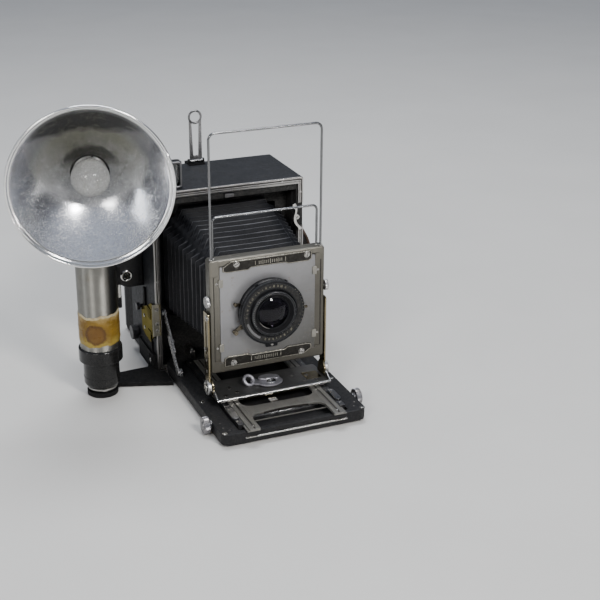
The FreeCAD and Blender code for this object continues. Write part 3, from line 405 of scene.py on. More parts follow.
def screw(g, c, n, r=2.2, h=1.0, turn=0.0, mat=0, dark=0, slot=0.16):
    # slotted head: two half discs on a lower disc
    u, v, n = basis(n)
    c = Vector(c)
    ca, sa = math.cos(turn), math.sin(turn)
    u, v = u * ca + v * sa, v * ca - u * sa
    rev(g, c, n, [(0, 0), (r, 0), (r, h * 0.5), (0, h * 0.5)], 24, dark)
    w = slot * r
    for s in (1, -1):
        a0 = math.degrees(math.asin(w / r))
        o = arc(0, 0, r, a0, 180 - a0, 14)
        t = arc(0, 0, r * 0.82, math.degrees(math.asin(w / (r * 0.82))), 180 - math.degrees(math.asin(w / (r * 0.82))), 14)
        rings = [[tuple(c + u * x + v * (s * y) + n * z) for x, y in pts] for pts, z in ((o, h * 0.3), (o, h * 0.78), (t, h))]
        g.grid(rings, True, mat, cap0=True, cap1=True)
    return g


def make(name, g, mats, body, nodes=(), bevel=0.0, seg=2, angle=32, edge=-1, merge=0.002, sub=0, ride=True, weight=True, sharp=38):
    me = bpy.data.meshes.new(name)
    me.from_pydata([W(p) for p in g.v], [], g.f)
    me.polygons.foreach_set("material_index", g.m)
    for k in mats:
        me.materials.append(MATS[k])
    bm = bmesh.new()
    bm.from_mesh(me)
    bmesh.ops.remove_doubles(bm, verts=bm.verts, dist=merge * 0.001)
    bmesh.ops.dissolve_degenerate(bm, edges=bm.edges, dist=1e-8)
    bmesh.ops.recalc_face_normals(bm, faces=bm.faces)
    if bevel:
        es = [e for e in bm.edges if len(e.link_faces) == 2 and e.calc_face_angle(0) > rad(angle)]
        if es:
            bmesh.ops.bevel(bm, geom=es, offset=bevel * 0.001, offset_type="OFFSET", segments=seg, profile=0.5, affect="EDGES", clamp_overlap=True, material=edge)
    for f in bm.faces:
        f.smooth = True
    bm.to_mesh(me)
    bm.free()
    me.set_sharp_from_angle(angle=rad(sharp))
    o = bpy.data.objects.new(name, me)
    bpy.context.scene.collection.objects.link(o)
    if sub:
        s = o.modifiers.new("sub", "SUBSURF")
        s.levels = s.render_levels = sub
    if weight:
        w = o.modifiers.new("wn", "WEIGHTED_NORMAL")
        w.keep_sharp = True
        w.weight = 60
    if nodes:
        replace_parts(o, *([nodes] if isinstance(nodes, str) else nodes))
    if ride:
        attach(o, body)
    return o


def cad(node, mat, bevel=0.25, seg=2, angle=30, edge=None):
    # a carried-over CAD node: its own mesh with eased edges and a better material
    o = frame["nodes"][node]
    o.data.materials.clear()
    o.data.materials.append(MATS[mat])
    if edge:
        o.data.materials.append(MATS[edge])
    o.data.polygons.foreach_set("material_index", [0] * len(o.data.polygons))
    if bevel:
        wd = o.modifiers.new("weld", "WELD")
        wd.merge_threshold = 2e-6
        b = o.modifiers.new("ease", "BEVEL")
        b.width = bevel * 0.001
        b.segments = seg
        b.limit_method = "ANGLE"
        b.angle_limit = rad(angle)
        b.harden_normals = False
        b.use_clamp_overlap = True
        if edge:
            b.material = 1
        w = o.modifiers.new("wn", "WEIGHTED_NORMAL")
        w.keep_sharp = True
    for p in o.data.polygons:
        p.use_smooth = True
    return o


# ------------------------------------------------------------------ materials
# nickel and chrome
m = Mat("trim_silver")
m.base((0.40, 0.39, 0.375), 0.05, 20.0, (0.29, 0.265, 0.215), (0.62, 0.9), 24.0, 0.3)
m.bump(m.noise(0.9, 3.0), 0.0015)
m.rough(0.33, 0.04, 12.0)
m.set(Metallic=1.0)
MATS["trim_silver"] = m.m
metal("chrome", (0.60, 0.59, 0.575), 0.15, rvar=0.05, pits=0.008, tint=(0.34, 0.31, 0.24), tint_at=(0.64, 0.88), tint_max=0.4, dirt=0.12)
metal("knob_metal", (0.46, 0.455, 0.45), 0.32, rvar=0.07, tint=(0.32, 0.30, 0.25), tint_at=(0.5, 0.8), tint_max=0.5, dirt=0.25)
metal("wire_steel", (0.20, 0.202, 0.205), 0.2, rvar=0.05, hair=(1, 1, 0.05), tint=(0.13, 0.125, 0.115), tint_at=(0.55, 0.85), tint_max=0.4)
metal("steel", (0.52, 0.52, 0.52), 0.3, rvar=0.09, hair=(0.1, 1, 1), dirt=0.2)
metal("screw_metal", (0.42, 0.412, 0.39), 0.27, rvar=0.08, tint=(0.24, 0.205, 0.155), tint_at=(0.5, 0.75), tint_max=0.6, dirt=0.22, size=3)
metal("slot_dark", (0.07, 0.065, 0.06), 0.55, var=0.3, rvar=0.1, size=2)
metal("track_grey", (0.27, 0.265, 0.25), 0.4, rvar=0.08, hair=(1, 0.04, 1), hair_depth=0.005, tint=(0.2, 0.185, 0.15), tint_at=(0.5, 0.8), tint_max=0.5, dirt=0.15, size=14)
metal("bar_bright", (0.42, 0.41, 0.385), 0.30, rvar=0.06, hair=(0.04, 1, 1), tint=(0.36, 0.33, 0.26), tint_at=(0.62, 0.88), tint_max=0.3)
m = metal("frame_beige", (0.185, 0.176, 0.150), 0.36, var=0.05, rvar=0.06, pits=0.004, tint=(0.16, 0.14, 0.105), tint_at=(0.55, 0.85), tint_max=0.4, dirt=0.08, size=16, metallic=0.85)
# painted shade: the casting is made darker towards the bottom and the right side
m.tone(m.ramp(m.math("SUBTRACT", m.math("MULTIPLY", m.along("X"), 0.35), m.math("MULTIPLY", m.along("Z"), 0.8)), -0.128, -0.075, 0.0, 0.6), (0.046, 0.042, 0.034))
metal("frame_side", (0.26, 0.22, 0.135), 0.19, rvar=0.05, hair=(1, 1, 0.05), tint=(0.16, 0.12, 0.06), tint_at=(0.5, 0.8), tint_max=0.6, dirt=0.1)
metal("slide_dark", (0.036, 0.034, 0.031), 0.32, var=0.25, rvar=0.07, tint=(0.13, 0.115, 0.09), tint_at=(0.68, 0.80), tint_max=0.6, size=4, pits=0.006)
metal("slide_edge", (0.30, 0.285, 0.245), 0.25, rvar=0.07, tint=(0.10, 0.088, 0.065), tint_at=(0.5, 0.7), tint_max=0.7, size=3)
metal("gunmetal", (0.105, 0.104, 0.101), 0.38, var=0.12, rvar=0.06, pits=0.004, tint=(0.16, 0.148, 0.125), tint_at=(0.62, 0.82), tint_max=0.4, dirt=0.12, size=12, metallic=0.72)
metal("lever_metal", (0.45, 0.44, 0.46), 0.34, rvar=0.08, tint=(0.30, 0.28, 0.26), tint_at=(0.5, 0.8), tint_max=0.5, dirt=0.2)
# black finishes
paint("black_satin", (0.010, 0.010, 0.011), 0.36, 0.7, 0.006, rub=(0.09, 0.085, 0.075), rub_at=(0.72, 0.84), dust=0.04, spec=0.28)
paint("black_alloy", (0.02, 0.02, 0.022), 0.42, 0.5, 0.01, rub=(0.20, 0.19, 0.175), rub_at=(0.72, 0.84), dust=0.10)
paint("black_gloss", (0.008, 0.008, 0.008), 0.16, 0.9, 0.003, rub=(0.07, 0.065, 0.06), rub_at=(0.73, 0.87), dust=0.03, coat=0.12, spec=0.27)
paint("black_inner", (0.010, 0.010, 0.010), 0.75, 0.6, 0.02, dust=0.12, spec=0.3)
paint("edge_worn", (0.05, 0.048, 0.045), 0.3, 0.5, 0.006, var=0.4, rub=(0.26, 0.245, 0.22), rub_at=(0.56, 0.70))
paint("bed_wrinkle", (0.010, 0.010, 0.011), 0.5, 0.45, 0.02, dust=0.05, wrinkle=0.9, rub=(0.07, 0.065, 0.06), rub_at=(0.73, 0.85), spec=0.18)
paint("shutter_black", (0.007, 0.0075, 0.009), 0.34, 0.6, 0.004, rub=(0.12, 0.118, 0.11), rub_at=(0.74, 0.86), dust=0.02, spec=0.13)
paint("cone_black", (0.006, 0.006, 0.007), 0.42, 0.5, 0.01, dust=0.02, spec=0.12)
paint("shutter_worn", (0.020, 0.021, 0.023), 0.26, 0.5, 0.004, var=0.3, rub=(0.115, 0.117, 0.118), rub_at=(0.62, 0.76))
paint("mark_gold", (0.20, 0.184, 0.135), 0.5, 0.3, 0.01, var=0.3)
paint("mark_white", (0.55, 0.54, 0.50), 0.5, 0.3, 0.01, var=0.2)
paint("red_plastic", (0.35, 0.02, 0.018), 0.25, 0.8, 0.004, coat=0.4)
paint("blade_black", (0.004, 0.004, 0.0045), 0.45, 0.4, 0.004, spec=0.12)


paint("black_crackle", (0.008, 0.008, 0.0085), 0.62, 0.5, 0.02, dust=0.04, wrinkle=0.7, rub=(0.09, 0.085, 0.075), rub_at=(0.74, 0.86), spec=0.08)


def leather(name, col, lift, grain, depth, rough, fold=14.0, tint=None, tint_max=0.4, sheen=0.0, spec=0.5):
    # pebbled hide: two sizes of cells with fine creases, worn lighter on the high spots
    m = Mat(name)
    m.base(col, 0.14, 16.0, tint, (0.5, 0.75), 22.0, tint_max)
    c1 = m.cells(grain, "DISTANCE_TO_EDGE", 0.95, co=None)
    c1 = m.ramp(c1, 0.0, 0.28)
    c2 = m.ramp(m.cells(grain * 0.42, "DISTANCE_TO_EDGE", 1.0), 0.0, 0.3)
    f = m.noise(fold, 5.0, 0.6, distort=0.6)
    hgt = m.math("ADD", m.math("MULTIPLY", c1, 0.7), m.math("MULTIPLY", c2, 0.3))
    m.bump(hgt, depth)
    m.bump(f, depth * 1.6, 0.5)
    m.bump(m.noise(0.25, 3.0), depth * 0.15)
    m.tone(m.ramp(c1, 0.0, 0.5, 0.55, 0.0), tuple(x * 0.45 for x in col))
    m.tone(m.math("MULTIPLY", m.ramp(m.noise(6.0, 7.0, 0.7), 0.5, 0.75), m.ramp(c1, 0.5, 1.0)), lift)
    m.rough(rough, 0.07, 5.0, m.ramp(c1, 0.0, 0.5, 0.12, 0.0))
    m.set(Specular_IOR_Level=spec)
    if sheen:
        m.set(Sheen_Weight=sheen, Sheen_Roughness=0.5)
    MATS[name] = m.m
    return m


leather("body_leather", (0.021, 0.022, 0.025), (0.062, 0.063, 0.068), 1.5, 0.12, 0.48, tint=(0.029, 0.027, 0.024), spec=0.15)
leather("bellows_leather", (0.010, 0.0105, 0.0125), (0.032, 0.033, 0.038), 1.1, 0.05, 0.5, fold=9.0, spec=0.14)
leather("bellows_edge", (0.040, 0.041, 0.046), (0.14, 0.14, 0.15), 0.9, 0.05, 0.38, fold=7.0, tint=(0.07, 0.058, 0.045), tint_max=0.5, spec=0.5)
leather("strap_brown", (0.060, 0.030, 0.018), (0.13, 0.075, 0.045), 1.3, 0.16, 0.52, fold=7.0, tint=(0.030, 0.018, 0.012), tint_max=0.8)
leather("strap_edge", (0.035, 0.02, 0.014), (0.10, 0.06, 0.04), 0.8, 0.1, 0.6, fold=5.0)


def cloth(name, col, pitch=0.35, depth=0.06, rough=0.85):
    m = Mat(name)
    m.base(col, 0.12, 6.0)
    for a, d in ((0, "x"), (1, "z")):
        w = m.node("TexWave", {"wave_type": "BANDS", "bands_direction": "X" if a == 0 else "Z"}, Vector=m.co, Scale=1000.0 / pitch / 6.283, Distortion=1.5, Detail=2.0)
        m.bump(w.outputs["Fac"] if "Fac" in w.outputs else w.outputs[1], depth)
    m.rough(rough, 0.05)
    m.set(Sheen_Weight=0.2)
    MATS[name] = m.m
    return m


cloth("curtain_cloth", (0.014, 0.014, 0.014))
cloth("thread", (0.16, 0.12, 0.08), 0.25, 0.03, 0.8)

# brushed tube: fine lines round the handle
m = Mat("brushed_tube")
m.base((0.30, 0.292, 0.265), 0.06, 10.0, (0.24, 0.205, 0.14), (0.55, 0.85), 18.0, 0.4)
hair = m.noise(0.7, 5.0, 0.65, stretch=(0.06, 0.06, 2.4))
m.bump(hair, 0.010)
m.bump(m.ramp(m.noise(0.8, 2.0, 0.5, stretch=(1, 1, 0.06), turn=(0.1, 0.05, 0)), 0.6, 0.7), -0.008)
sp = m.ramp(m.noise(1.8, 7.0, 0.7), 0.6, 0.72)
m.tone(m.math("MULTIPLY", sp, 0.55), (0.16, 0.13, 0.09))
m.rough(0.40, 0.03, 9.0, m.ramp(hair, 0.3, 0.7, -0.03, 0.04))
tan = m.node("Tangent", {"direction_type": "RADIAL", "axis": "Z"})
m.set(Metallic=1.0, Anisotropic=0.92, Anisotropic_Rotation=0.25, Tangent=tan.outputs[0])
MATS["brushed_tube"] = m.m

m = Mat("reflector_rim")
m.base((0.88, 0.88, 0.87), 0.04, 9.0, (0.5, 0.46, 0.38), (0.6, 0.8), 12.0, 0.4)
m.bump(m.noise(1.2, 4.0), 0.008)
m.rough(0.14, 0.05)
m.set(Metallic=1.0)
MATS["reflector_rim"] = m.m

m = Mat("reflector_back")
m.base((0.70, 0.70, 0.70), 0.06, 16.0, (0.46, 0.42, 0.33), (0.5, 0.8), 20.0, 0.5)
m.bump(m.noise(1.0, 4.0, 0.6, stretch=(1, 1, 1)), 0.008)
m.rough(0.30, 0.08)
m.set(Metallic=1.0)
MATS["reflector_back"] = m.m

# clear glass, coated lens glass, bulb glass, ground glass


def glass(name, col, rough=0.02, ior=1.5, film_and_painted_reflection=0.0, seed=0.02):
    m = Mat(name)
    c = m.mixc(m.ramp(m.noise(5.0, 5.0), 0.4, 0.7), col, tuple(x * 0.93 for x in col))
    m.put(m.b.inputs["Base Color"], c)
    m.put(m.b.inputs["Roughness"], m.ramp(m.noise(3.0, 7.0, 0.7), 0.5, 0.8, rough, rough + 0.07))
    m.bump(m.noise(3.0, 2.0), seed * 0.2)
    m.set(Transmission_Weight=1.0, IOR=ior)
    if film_and_painted_reflection:
        m.set(Thin_Film_Thickness=film_and_painted_reflection, Thin_Film_IOR=1.38)
    MATS[name] = m.m
    return m


glass("clear_glass", (0.93, 0.96, 0.97))
glass("lens_coated", (0.26, 0.24, 0.32), 0.0, 1.31, 0.0, 0.0)
glass("bulb_clear", (0.97, 0.975, 0.96), 0.03, 1.45)
glass("frosted", (0.88, 0.9, 0.89), 0.42)

m = Mat("bulb_foil")
cr = m.cells(1.5, "DISTANCE_TO_EDGE", 1.0)
cr2 = m.cells(0.7, "DISTANCE_TO_EDGE", 1.0)
fl = m.cells(1.0, "F1", 1.0, out="Color")
m.base((0.920, 0.920, 0.920), 0.10, 2.0, (0.66, 0.63, 0.52), (0.5, 0.75), 5.0, 0.5)
m.bump(m.ramp(cr, 0, 0.3), 0.34)
m.bump(m.ramp(cr2, 0, 0.3), 0.20)
m.bump(m.node("SeparateXYZ", Vector=fl).outputs[0], 0.30)
# painted shade: the crease lines of the foil are darkened
m.tone(m.ramp(cr, 0.0, 0.05, 0.35, 0.0), (0.40, 0.39, 0.35))
m.tone(m.math("MULTIPLY", m.ramp(m.noise(1.5, 6.0, 0.75), 0.49, 0.60), 0.34), (0.48, 0.475, 0.45))
m.rough(0.22, 0.08, 2.0)
m.set(Metallic=0.36)
MATS["bulb_foil"] = m.m

# old tape round the grip: amber, with a round brown stain and a pale ragged upper edge
STAIN = (-0.1596, -0.081, 0.073)
m = Mat("grip_tape")
m.base((0.175, 0.103, 0.014), 0.22, 9.0, (0.115, 0.055, 0.010), (0.48, 0.70), 15.0, 0.8, 6.0)
zz = m.math("ADD", m.along("Z"), m.math("MULTIPLY", m.math("SUBTRACT", m.noise(9.0, 4.0, 0.6), 0.5), 0.014))
m.tone(m.ramp(zz, 0.062, 0.070, 0.8, 0.0), (0.30, 0.22, 0.045))
m.tone(m.ramp(zz, 0.086, 0.093, 0.0, 0.75), (0.34, 0.26, 0.12))
band = m.noise(2.2, 5.0, 0.6, stretch=(0.3, 0.3, 2.2))
m.tone(m.ramp(band, 0.55, 0.75, 0, 0.35), (0.36, 0.25, 0.08))
dv = m.node("VectorMath", {"operation": "DISTANCE"}, i0=m.co, i1=STAIN).outputs["Value"]
ds = m.math("ADD", dv, m.math("MULTIPLY", m.math("SUBTRACT", m.noise(5.0, 5.0, 0.65), 0.5), 0.007))
m.tone(m.ramp(ds, 0.0095, 0.0115, 0.78, 0.0), (0.105, 0.048, 0.012))
m.tone(m.math("MULTIPLY", m.ramp(ds, 0.0075, 0.0098), m.ramp(ds, 0.0100, 0.0118, 0.7, 0.0)), (0.06, 0.026, 0.008))
m.tone(m.ramp(m.noise(1.3, 7.0, 0.75), 0.64, 0.77, 0, 0.7), (0.06, 0.03, 0.01))
m.bump(band, 0.08)
m.bump(m.noise(6.0, 4.0, 0.6, distort=1.0), 0.22)
m.rough(0.33, 0.1, 4.0)
m.set(Coat_Weight=0.03, Coat_Roughness=0.2, Specular_IOR_Level=0.25)
MATS["grip_tape"] = m.m

m = Mat("tape_edge")
m.base((0.42, 0.36, 0.22), 0.2, 3.0, (0.22, 0.14, 0.06), (0.5, 0.7), 6.0, 0.7)
m.bump(m.noise(0.8, 5.0, 0.7), 0.12)
m.rough(0.7, 0.1)
MATS["tape_edge"] = m.m

# lens board: light grey enamel, mottled and rust-stained, with painted shade towards the bottom right
m = Mat("board_grey")
m.base((0.285, 0.285, 0.292), 0.05, 20.0, (0.25, 0.25, 0.268), (0.45, 0.68), 30.0, 0.5)
# painted shade: darker towards the bottom right
painted_shade_slope = m.math("SUBTRACT", m.math("MULTIPLY", m.along("X"), 0.55), m.math("MULTIPLY", m.along("Z"), 0.8))
painted_shade_slope = m.math("ADD", painted_shade_slope, m.math("MULTIPLY", m.math("SUBTRACT", m.noise(26.0, 4.0, 0.6), 0.5), 0.04))
m.tone(m.ramp(painted_shade_slope, -0.125, -0.022, 0.0, 0.95), (0.072, 0.070, 0.062))
mot = m.noise(3.2, 8.0, 0.72)
m.tone(m.ramp(mot, 0.54, 0.78, 0, 0.4), (0.26, 0.24, 0.205))
rust = m.math("MULTIPLY", m.ramp(m.noise(7.0, 7.0, 0.72), 0.58, 0.72), m.ramp(m.noise(2.0, 6.0, 0.7), 0.46, 0.6))
m.tone(m.math("MULTIPLY", rust, 0.7), (0.15, 0.085, 0.04))
m.bump(m.noise(0.9, 5.0, 0.65), 0.015)
m.rough(0.36, 0.06, 6.0)
m.set(Metallic=0.5)
MATS["board_grey"] = m.m

m = Mat("cell_jacket")
m.base((0.30, 0.07, 0.04), 0.12, 12.0)
m.bump(m.noise(3.0, 4.0), 0.03)
m.rough(0.35, 0.08)
m.set(Metallic=0.3)
MATS["cell_jacket"] = m.m

m = Mat("dark_wood")
m.base((0.055, 0.030, 0.018), 0.25, 12.0)
gr = m.noise(1.5, 6.0, 0.6, stretch=(0.08, 1, 1), distort=0.6)
m.tone(m.ramp(gr, 0.4, 0.7, 0, 0.7), (0.022, 0.012, 0.008))
m.bump(gr, 0.08)
m.rough(0.5, 0.08)
MATS["dark_wood"] = m.m
metal("tab_light", (0.29, 0.28, 0.247), 0.36, rvar=0.06, pits=0.004, tint=(0.24, 0.215, 0.16), tint_at=(0.55, 0.8), tint_max=0.5, dirt=0.1, size=4)
metal("scale_grey", (0.19, 0.19, 0.195), 0.34, rvar=0.07, tint=(0.10, 0.095, 0.085), tint_at=(0.5, 0.75), tint_max=0.6, size=3)
metal("chrome_gold", (0.235, 0.205, 0.115), 0.17, rvar=0.04, hair=(1, 1, 0.06), pits=0.003, tint=(0.12, 0.10, 0.048), tint_at=(0.45, 0.75), tint_max=0.6, dirt=0.05, size=12).set(Specular_Tint=(0.42, 0.40, 0.30))
metal("bezel_bright", (0.36, 0.355, 0.35), 0.22, rvar=0.07, tint=(0.12, 0.115, 0.105), tint_at=(0.5, 0.75), tint_max=0.7, size=5)
metal("peep_steel", (0.19, 0.192, 0.195), 0.28, rvar=0.06, hair=(1, 1, 0.06), tint=(0.12, 0.115, 0.105), tint_at=(0.5, 0.8), tint_max=0.6)
metal("lever_bright", (0.62, 0.61, 0.58), 0.14, rvar=0.05, tint=(0.32, 0.29, 0.22), tint_at=(0.58, 0.82), tint_max=0.5, dirt=0.08, size=4)
metal("rail_dark", (0.10, 0.10, 0.105), 0.42, rvar=0.1, hair=(1, 0.05, 1), tint=(0.22, 0.2, 0.17), tint_at=(0.5, 0.78), tint_max=0.7, dirt=0.3, size=5)
metal("knob_lavender", (0.265, 0.26, 0.268), 0.36, rvar=0.06, tint=(0.20, 0.185, 0.17), tint_at=(0.5, 0.8), tint_max=0.5, dirt=0.18, size=4)
metal("track_satin", (0.185, 0.18, 0.165), 0.38, rvar=0.06, hair=(1, 0.04, 1), hair_depth=0.004, tint=(0.14, 0.128, 0.105), tint_at=(0.5, 0.8), tint_max=0.5, dirt=0.1, size=18, metallic=0.6)
metal("track_ridge", (0.215, 0.208, 0.19), 0.38, rvar=0.05, hair=(1, 0.04, 1), tint=(0.15, 0.135, 0.11), tint_at=(0.5, 0.8), tint_max=0.5, dirt=0.06, size=16, metallic=0.6)
metal("pill_grey", (0.30, 0.30, 0.305), 0.34, rvar=0.08, tint=(0.17, 0.155, 0.14), tint_at=(0.5, 0.8), tint_max=0.5, dirt=0.2, size=5)
metal("pill_dark", (0.15, 0.15, 0.155), 0.34, rvar=0.1, tint=(0.36, 0.33, 0.28), tint_at=(0.6, 0.75), tint_max=0.7, dirt=0.3, size=4)
metal("lever_lavender", (0.36, 0.355, 0.385), 0.42, rvar=0.06, tint=(0.26, 0.25, 0.26), tint_at=(0.5, 0.8), tint_max=0.4, dirt=0.10, size=6, metallic=0.75)
metal("tray_chrome", (0.58, 0.57, 0.55), 0.2, rvar=0.06, hair=(0.05, 1, 1), tint=(0.24, 0.215, 0.17), tint_at=(0.58, 0.84), tint_max=0.5, dirt=0.1, size=10)
metal("lever_brass", (0.125, 0.109, 0.08), 0.28, rvar=0.08, tint=(0.06, 0.05, 0.036), tint_at=(0.45, 0.75), tint_max=0.7, dirt=0.2, size=3)
metal("finder_rim", (0.13, 0.131, 0.137), 0.32, rvar=0.07, tint=(0.25, 0.24, 0.225), tint_at=(0.6, 0.78), tint_max=0.7, size=4)
metal("ring_satin", (0.30, 0.297, 0.285), 0.36, rvar=0.06, tint=(0.16, 0.15, 0.125), tint_at=(0.5, 0.78), tint_max=0.6, dirt=0.2, size=4, metallic=0.6)
metal("leaf_chrome", (0.30, 0.285, 0.235), 0.3, rvar=0.03, tint=(0.22, 0.2, 0.14), tint_at=(0.5, 0.8), tint_max=0.4, dirt=0.06, size=10).set(Specular_Tint=(0.6, 0.6, 0.56))
strut = metal("strut_silver", (0.47, 0.47, 0.475), 0.27, rvar=0.07, pits=0.006, tint=(0.27, 0.25, 0.21), tint_at=(0.5, 0.8), tint_max=0.5, dirt=0.15, size=5, metallic=0.7)
saw = strut.math("FRACT", strut.math("MULTIPLY", strut.along("Z"), 420.0))
strut.tone(strut.math("MULTIPLY", strut.ramp(saw, 0.0, 0.2, 0.75, 0.0), strut.ramp(strut.noise(9.0, 3.0), 0.35, 0.6)), (0.05, 0.05, 0.05))
strut.bump(strut.ramp(saw, 0.0, 0.25), 0.12)


# ------------------------------------------------------------------ studio: camera, soft light, pale floor
def set_camera():
    cam = bpy.data.cameras.new("view_camera")
    o = bpy.data.objects.new("view_camera", cam)
    bpy.context.scene.collection.objects.link(o)
    fw = Vector((0.36990504, 0.84621938, -0.38351404)).normalized()
    right = fw.cross(Vector((0, 0, 1))).normalized()
    up = right.cross(fw)
    ro = rad(0.53)
    r2 = right * math.cos(ro) + up * math.sin(ro)
    u2 = right * -math.sin(ro) + up * math.cos(ro)
    m = Matrix.Identity(4)
    for i in range(3):
        m[i][0], m[i][1], m[i][2] = r2[i], u2[i], -fw[i]
    m.translation = Vector((-0.4285, -1.2318, 0.597))
    o.matrix_world = m
    cam.sensor_width = 36.0
    cam.lens = 75.65
    cam.shift_x = -0.014
    cam.clip_end = 60
    bpy.context.scene.camera = o


def area(name, loc, target, size, power, col=(1, 1, 1), size_y=None):
    d = bpy.data.lights.new(name, "AREA")
    d.shape = "RECTANGLE"
    d.size, d.size_y = size, size_y or size
    d.energy = power
    d.color = col
    o = bpy.data.objects.new(name, d)
    bpy.context.scene.collection.objects.link(o)
    o.location = loc
    o.rotation_euler = (Vector(target) - Vector(loc)).to_track_quat("-Z", "Y").to_euler()
    return o


def set_world():
    w = bpy.data.worlds.new("studio")
    bpy.context.scene.world = w
    w.use_nodes = True
    t = w.node_tree
    t.nodes.clear()
    out = t.nodes.new("ShaderNodeOutputWorld")
    bg = t.nodes.new("ShaderNodeBackground")
    co = t.nodes.new("ShaderNodeTexCoord")
    sep = t.nodes.new("ShaderNodeSeparateXYZ")
    t.links.new(co.outputs["Generated"], sep.inputs[0])
    ramp = t.nodes.new("ShaderNodeValToRGB")
    mp = t.nodes.new("ShaderNodeMapRange")
    mp.inputs["From Min"].default_value = -1.0
    t.links.new(sep.outputs[2], mp.inputs["Value"])
    t.links.new(mp.outputs[0], ramp.inputs[0])
    cr = ramp.color_ramp
    cr.elements[0].position, cr.elements[0].color = 0.0, (0.16, 0.15, 0.13, 1)
    cr.elements[1].position, cr.elements[1].color = 1.0, (0.80, 0.88, 1.05, 1)
    for p, c in ((0.46, (0.20, 0.19, 0.17)), (0.52, (0.16, 0.16, 0.17)), (0.66, (0.22, 0.23, 0.26)), (0.82, (0.66, 0.72, 0.86))):
        e = cr.elements.new(p)
        e.color = (*c, 1)
    t.links.new(ramp.outputs[0], bg.inputs[0])
    bg.inputs[1].default_value = 0.55
    t.links.new(bg.outputs[0], out.inputs[0])


def set_floor():
    m = Mat("floor_pale")
    m.base((0.60, 0.59, 0.565), 0.02, 160.0)
    m.bump(m.noise(3.0, 3.0), 0.02)
    m.rough(0.62, 0.03, 60.0)
    me = bpy.data.meshes.new("floor")
    s = 9.0
    me.from_pydata([(-s, -s, 0), (s, -s, 0), (s, s, 0), (-s, s, 0)], [], [(0, 1, 2, 3)])
    me.materials.append(m.m)
    o = bpy.data.objects.new("floor", me)
    bpy.context.scene.collection.objects.link(o)
    o.location.z = -0.0004


set_camera()
set_world()
set_floor()
area("key", (0.45, -2.1, 1.65), (-0.02, -0.08, 0.10), 0.5, 46.0, (1.0, 0.985, 0.96))
area("left", (-1.75, -1.75, 1.35), (-0.05, -0.05, 0.12), 0.7, 26.0, (1.0, 0.98, 0.95))
area("top", (0.15, 0.55, 2.0), (0.0, 0.0, 0.1), 1.2, 34.0, (0.93, 0.96, 1.0), 0.8)
area("window", (-2.5, -0.18, 0.80), (-0.13, -0.10, 0.16), 0.42, 7.0, (0.93, 0.96, 1.0), 1.3)
area("low", (0.58, -1.65, 0.17), (-0.02, -0.16, 0.11), 0.05, 2.2, (1.0, 0.94, 0.95), 0.07)


# ------------------------------------------------------------------ flash gun
GA = rad(13.5)
LN = Vector((-math.sin(GA), -math.cos(GA), 0))
L0 = Vector((-151.0, -22.0, 237.5))
GX, GY = -151.0, -22.0


def bowl(r, off=0.0):
    # a point of the bowl's section, off millimetres outward from its inner face
    d = 50.0 - 78.5 ** 2 / 116.0 + r * r / 116.0
    nr, nd = 1.0, -116.0 / (2 * r)
    q = math.hypot(nr, nd)
    return (r + off * nr / q, d + off * nd / q)


def lamp_axis(m):
    # material helper: distance from the lamp axis, and the height in the lamp's own frame, in millimetres
    c = Vector(W(L0))
    sub = m.node("VectorMath", {"operation": "SUBTRACT"})
    m.put(sub.inputs[0], m.co)
    sub.inputs[1].default_value = c
    dot = m.node("VectorMath", {"operation": "DOT_PRODUCT"})
    m.put(dot.inputs[0], sub.outputs[0])
    dot.inputs[1].default_value = LN
    ln = m.node("VectorMath", {"operation": "LENGTH"})
    m.put(ln.inputs[0], sub.outputs[0])
    r2 = m.math("SUBTRACT", m.math("MULTIPLY", ln.outputs["Value"], ln.outputs["Value"]), m.math("MULTIPLY", dot.outputs["Value"], dot.outputs["Value"]))
    r = m.math("MULTIPLY", m.math("SQRT", m.math("MAXIMUM", r2, 0.0)), 1000.0)
    sep = m.node("SeparateXYZ", Vector=sub.outputs[0])
    up = m.math("MULTIPLY", sep.outputs[2], 1000.0)
    side = m.math("MULTIPLY", sep.outputs[0], 1000.0)
    return r, up, side


# polished bowl: haze, scratches, spin lines, grey blots and specks, and painted reflections: a warm tint that is
# stronger towards the top, a darker zone by the rim and a dark band at the top, a dark arch above the bulb, bluish
# mottling and white flecks in the lower half
m = Mat("reflector_bright")
lr, lup, lside = lamp_axis(m)
m.base((0.84, 0.85, 0.875), 0.03, 26.0)
# painted reflection: a warm yellow tint, stronger towards the top of the bowl
film_and_painted_reflection = m.math("MULTIPLY", m.ramp(m.math("ADD", lup, m.ramp(m.noise(30.0, 4.0), 0.3, 0.7, -14, 14)), -14.0, 34.0), m.ramp(lr, 62.0, 50.0, 0.35, 1.0))
m.tone(m.math("MULTIPLY", film_and_painted_reflection, 0.72), (0.40, 0.385, 0.29))
# painted reflection: a darker bluish zone by the rim, towards the top
painted_rim_reflection = m.math("MULTIPLY", m.ramp(lr, 50.0, 60.0), m.ramp(m.math("ADD", lup, m.ramp(m.noise(18.0, 4.0), 0.3, 0.7, -9, 9)), -8.0, 30.0))
m.tone(m.math("MULTIPLY", painted_rim_reflection, 0.7), (0.30, 0.305, 0.33))
# painted reflection: a dark band across the top of the bowl
band = m.math("MULTIPLY", m.ramp(m.math("ADD", lup, m.ramp(m.noise(34.0, 3.0), 0.3, 0.7, -5, 5)), 43.0, 50.0), m.ramp(lr, 70.0, 74.0, 1.0, 0.0))
m.tone(m.math("MULTIPLY", band, m.ramp(lside, 26.0, 44.0, 0.88, 0.30)), (0.085, 0.088, 0.092))
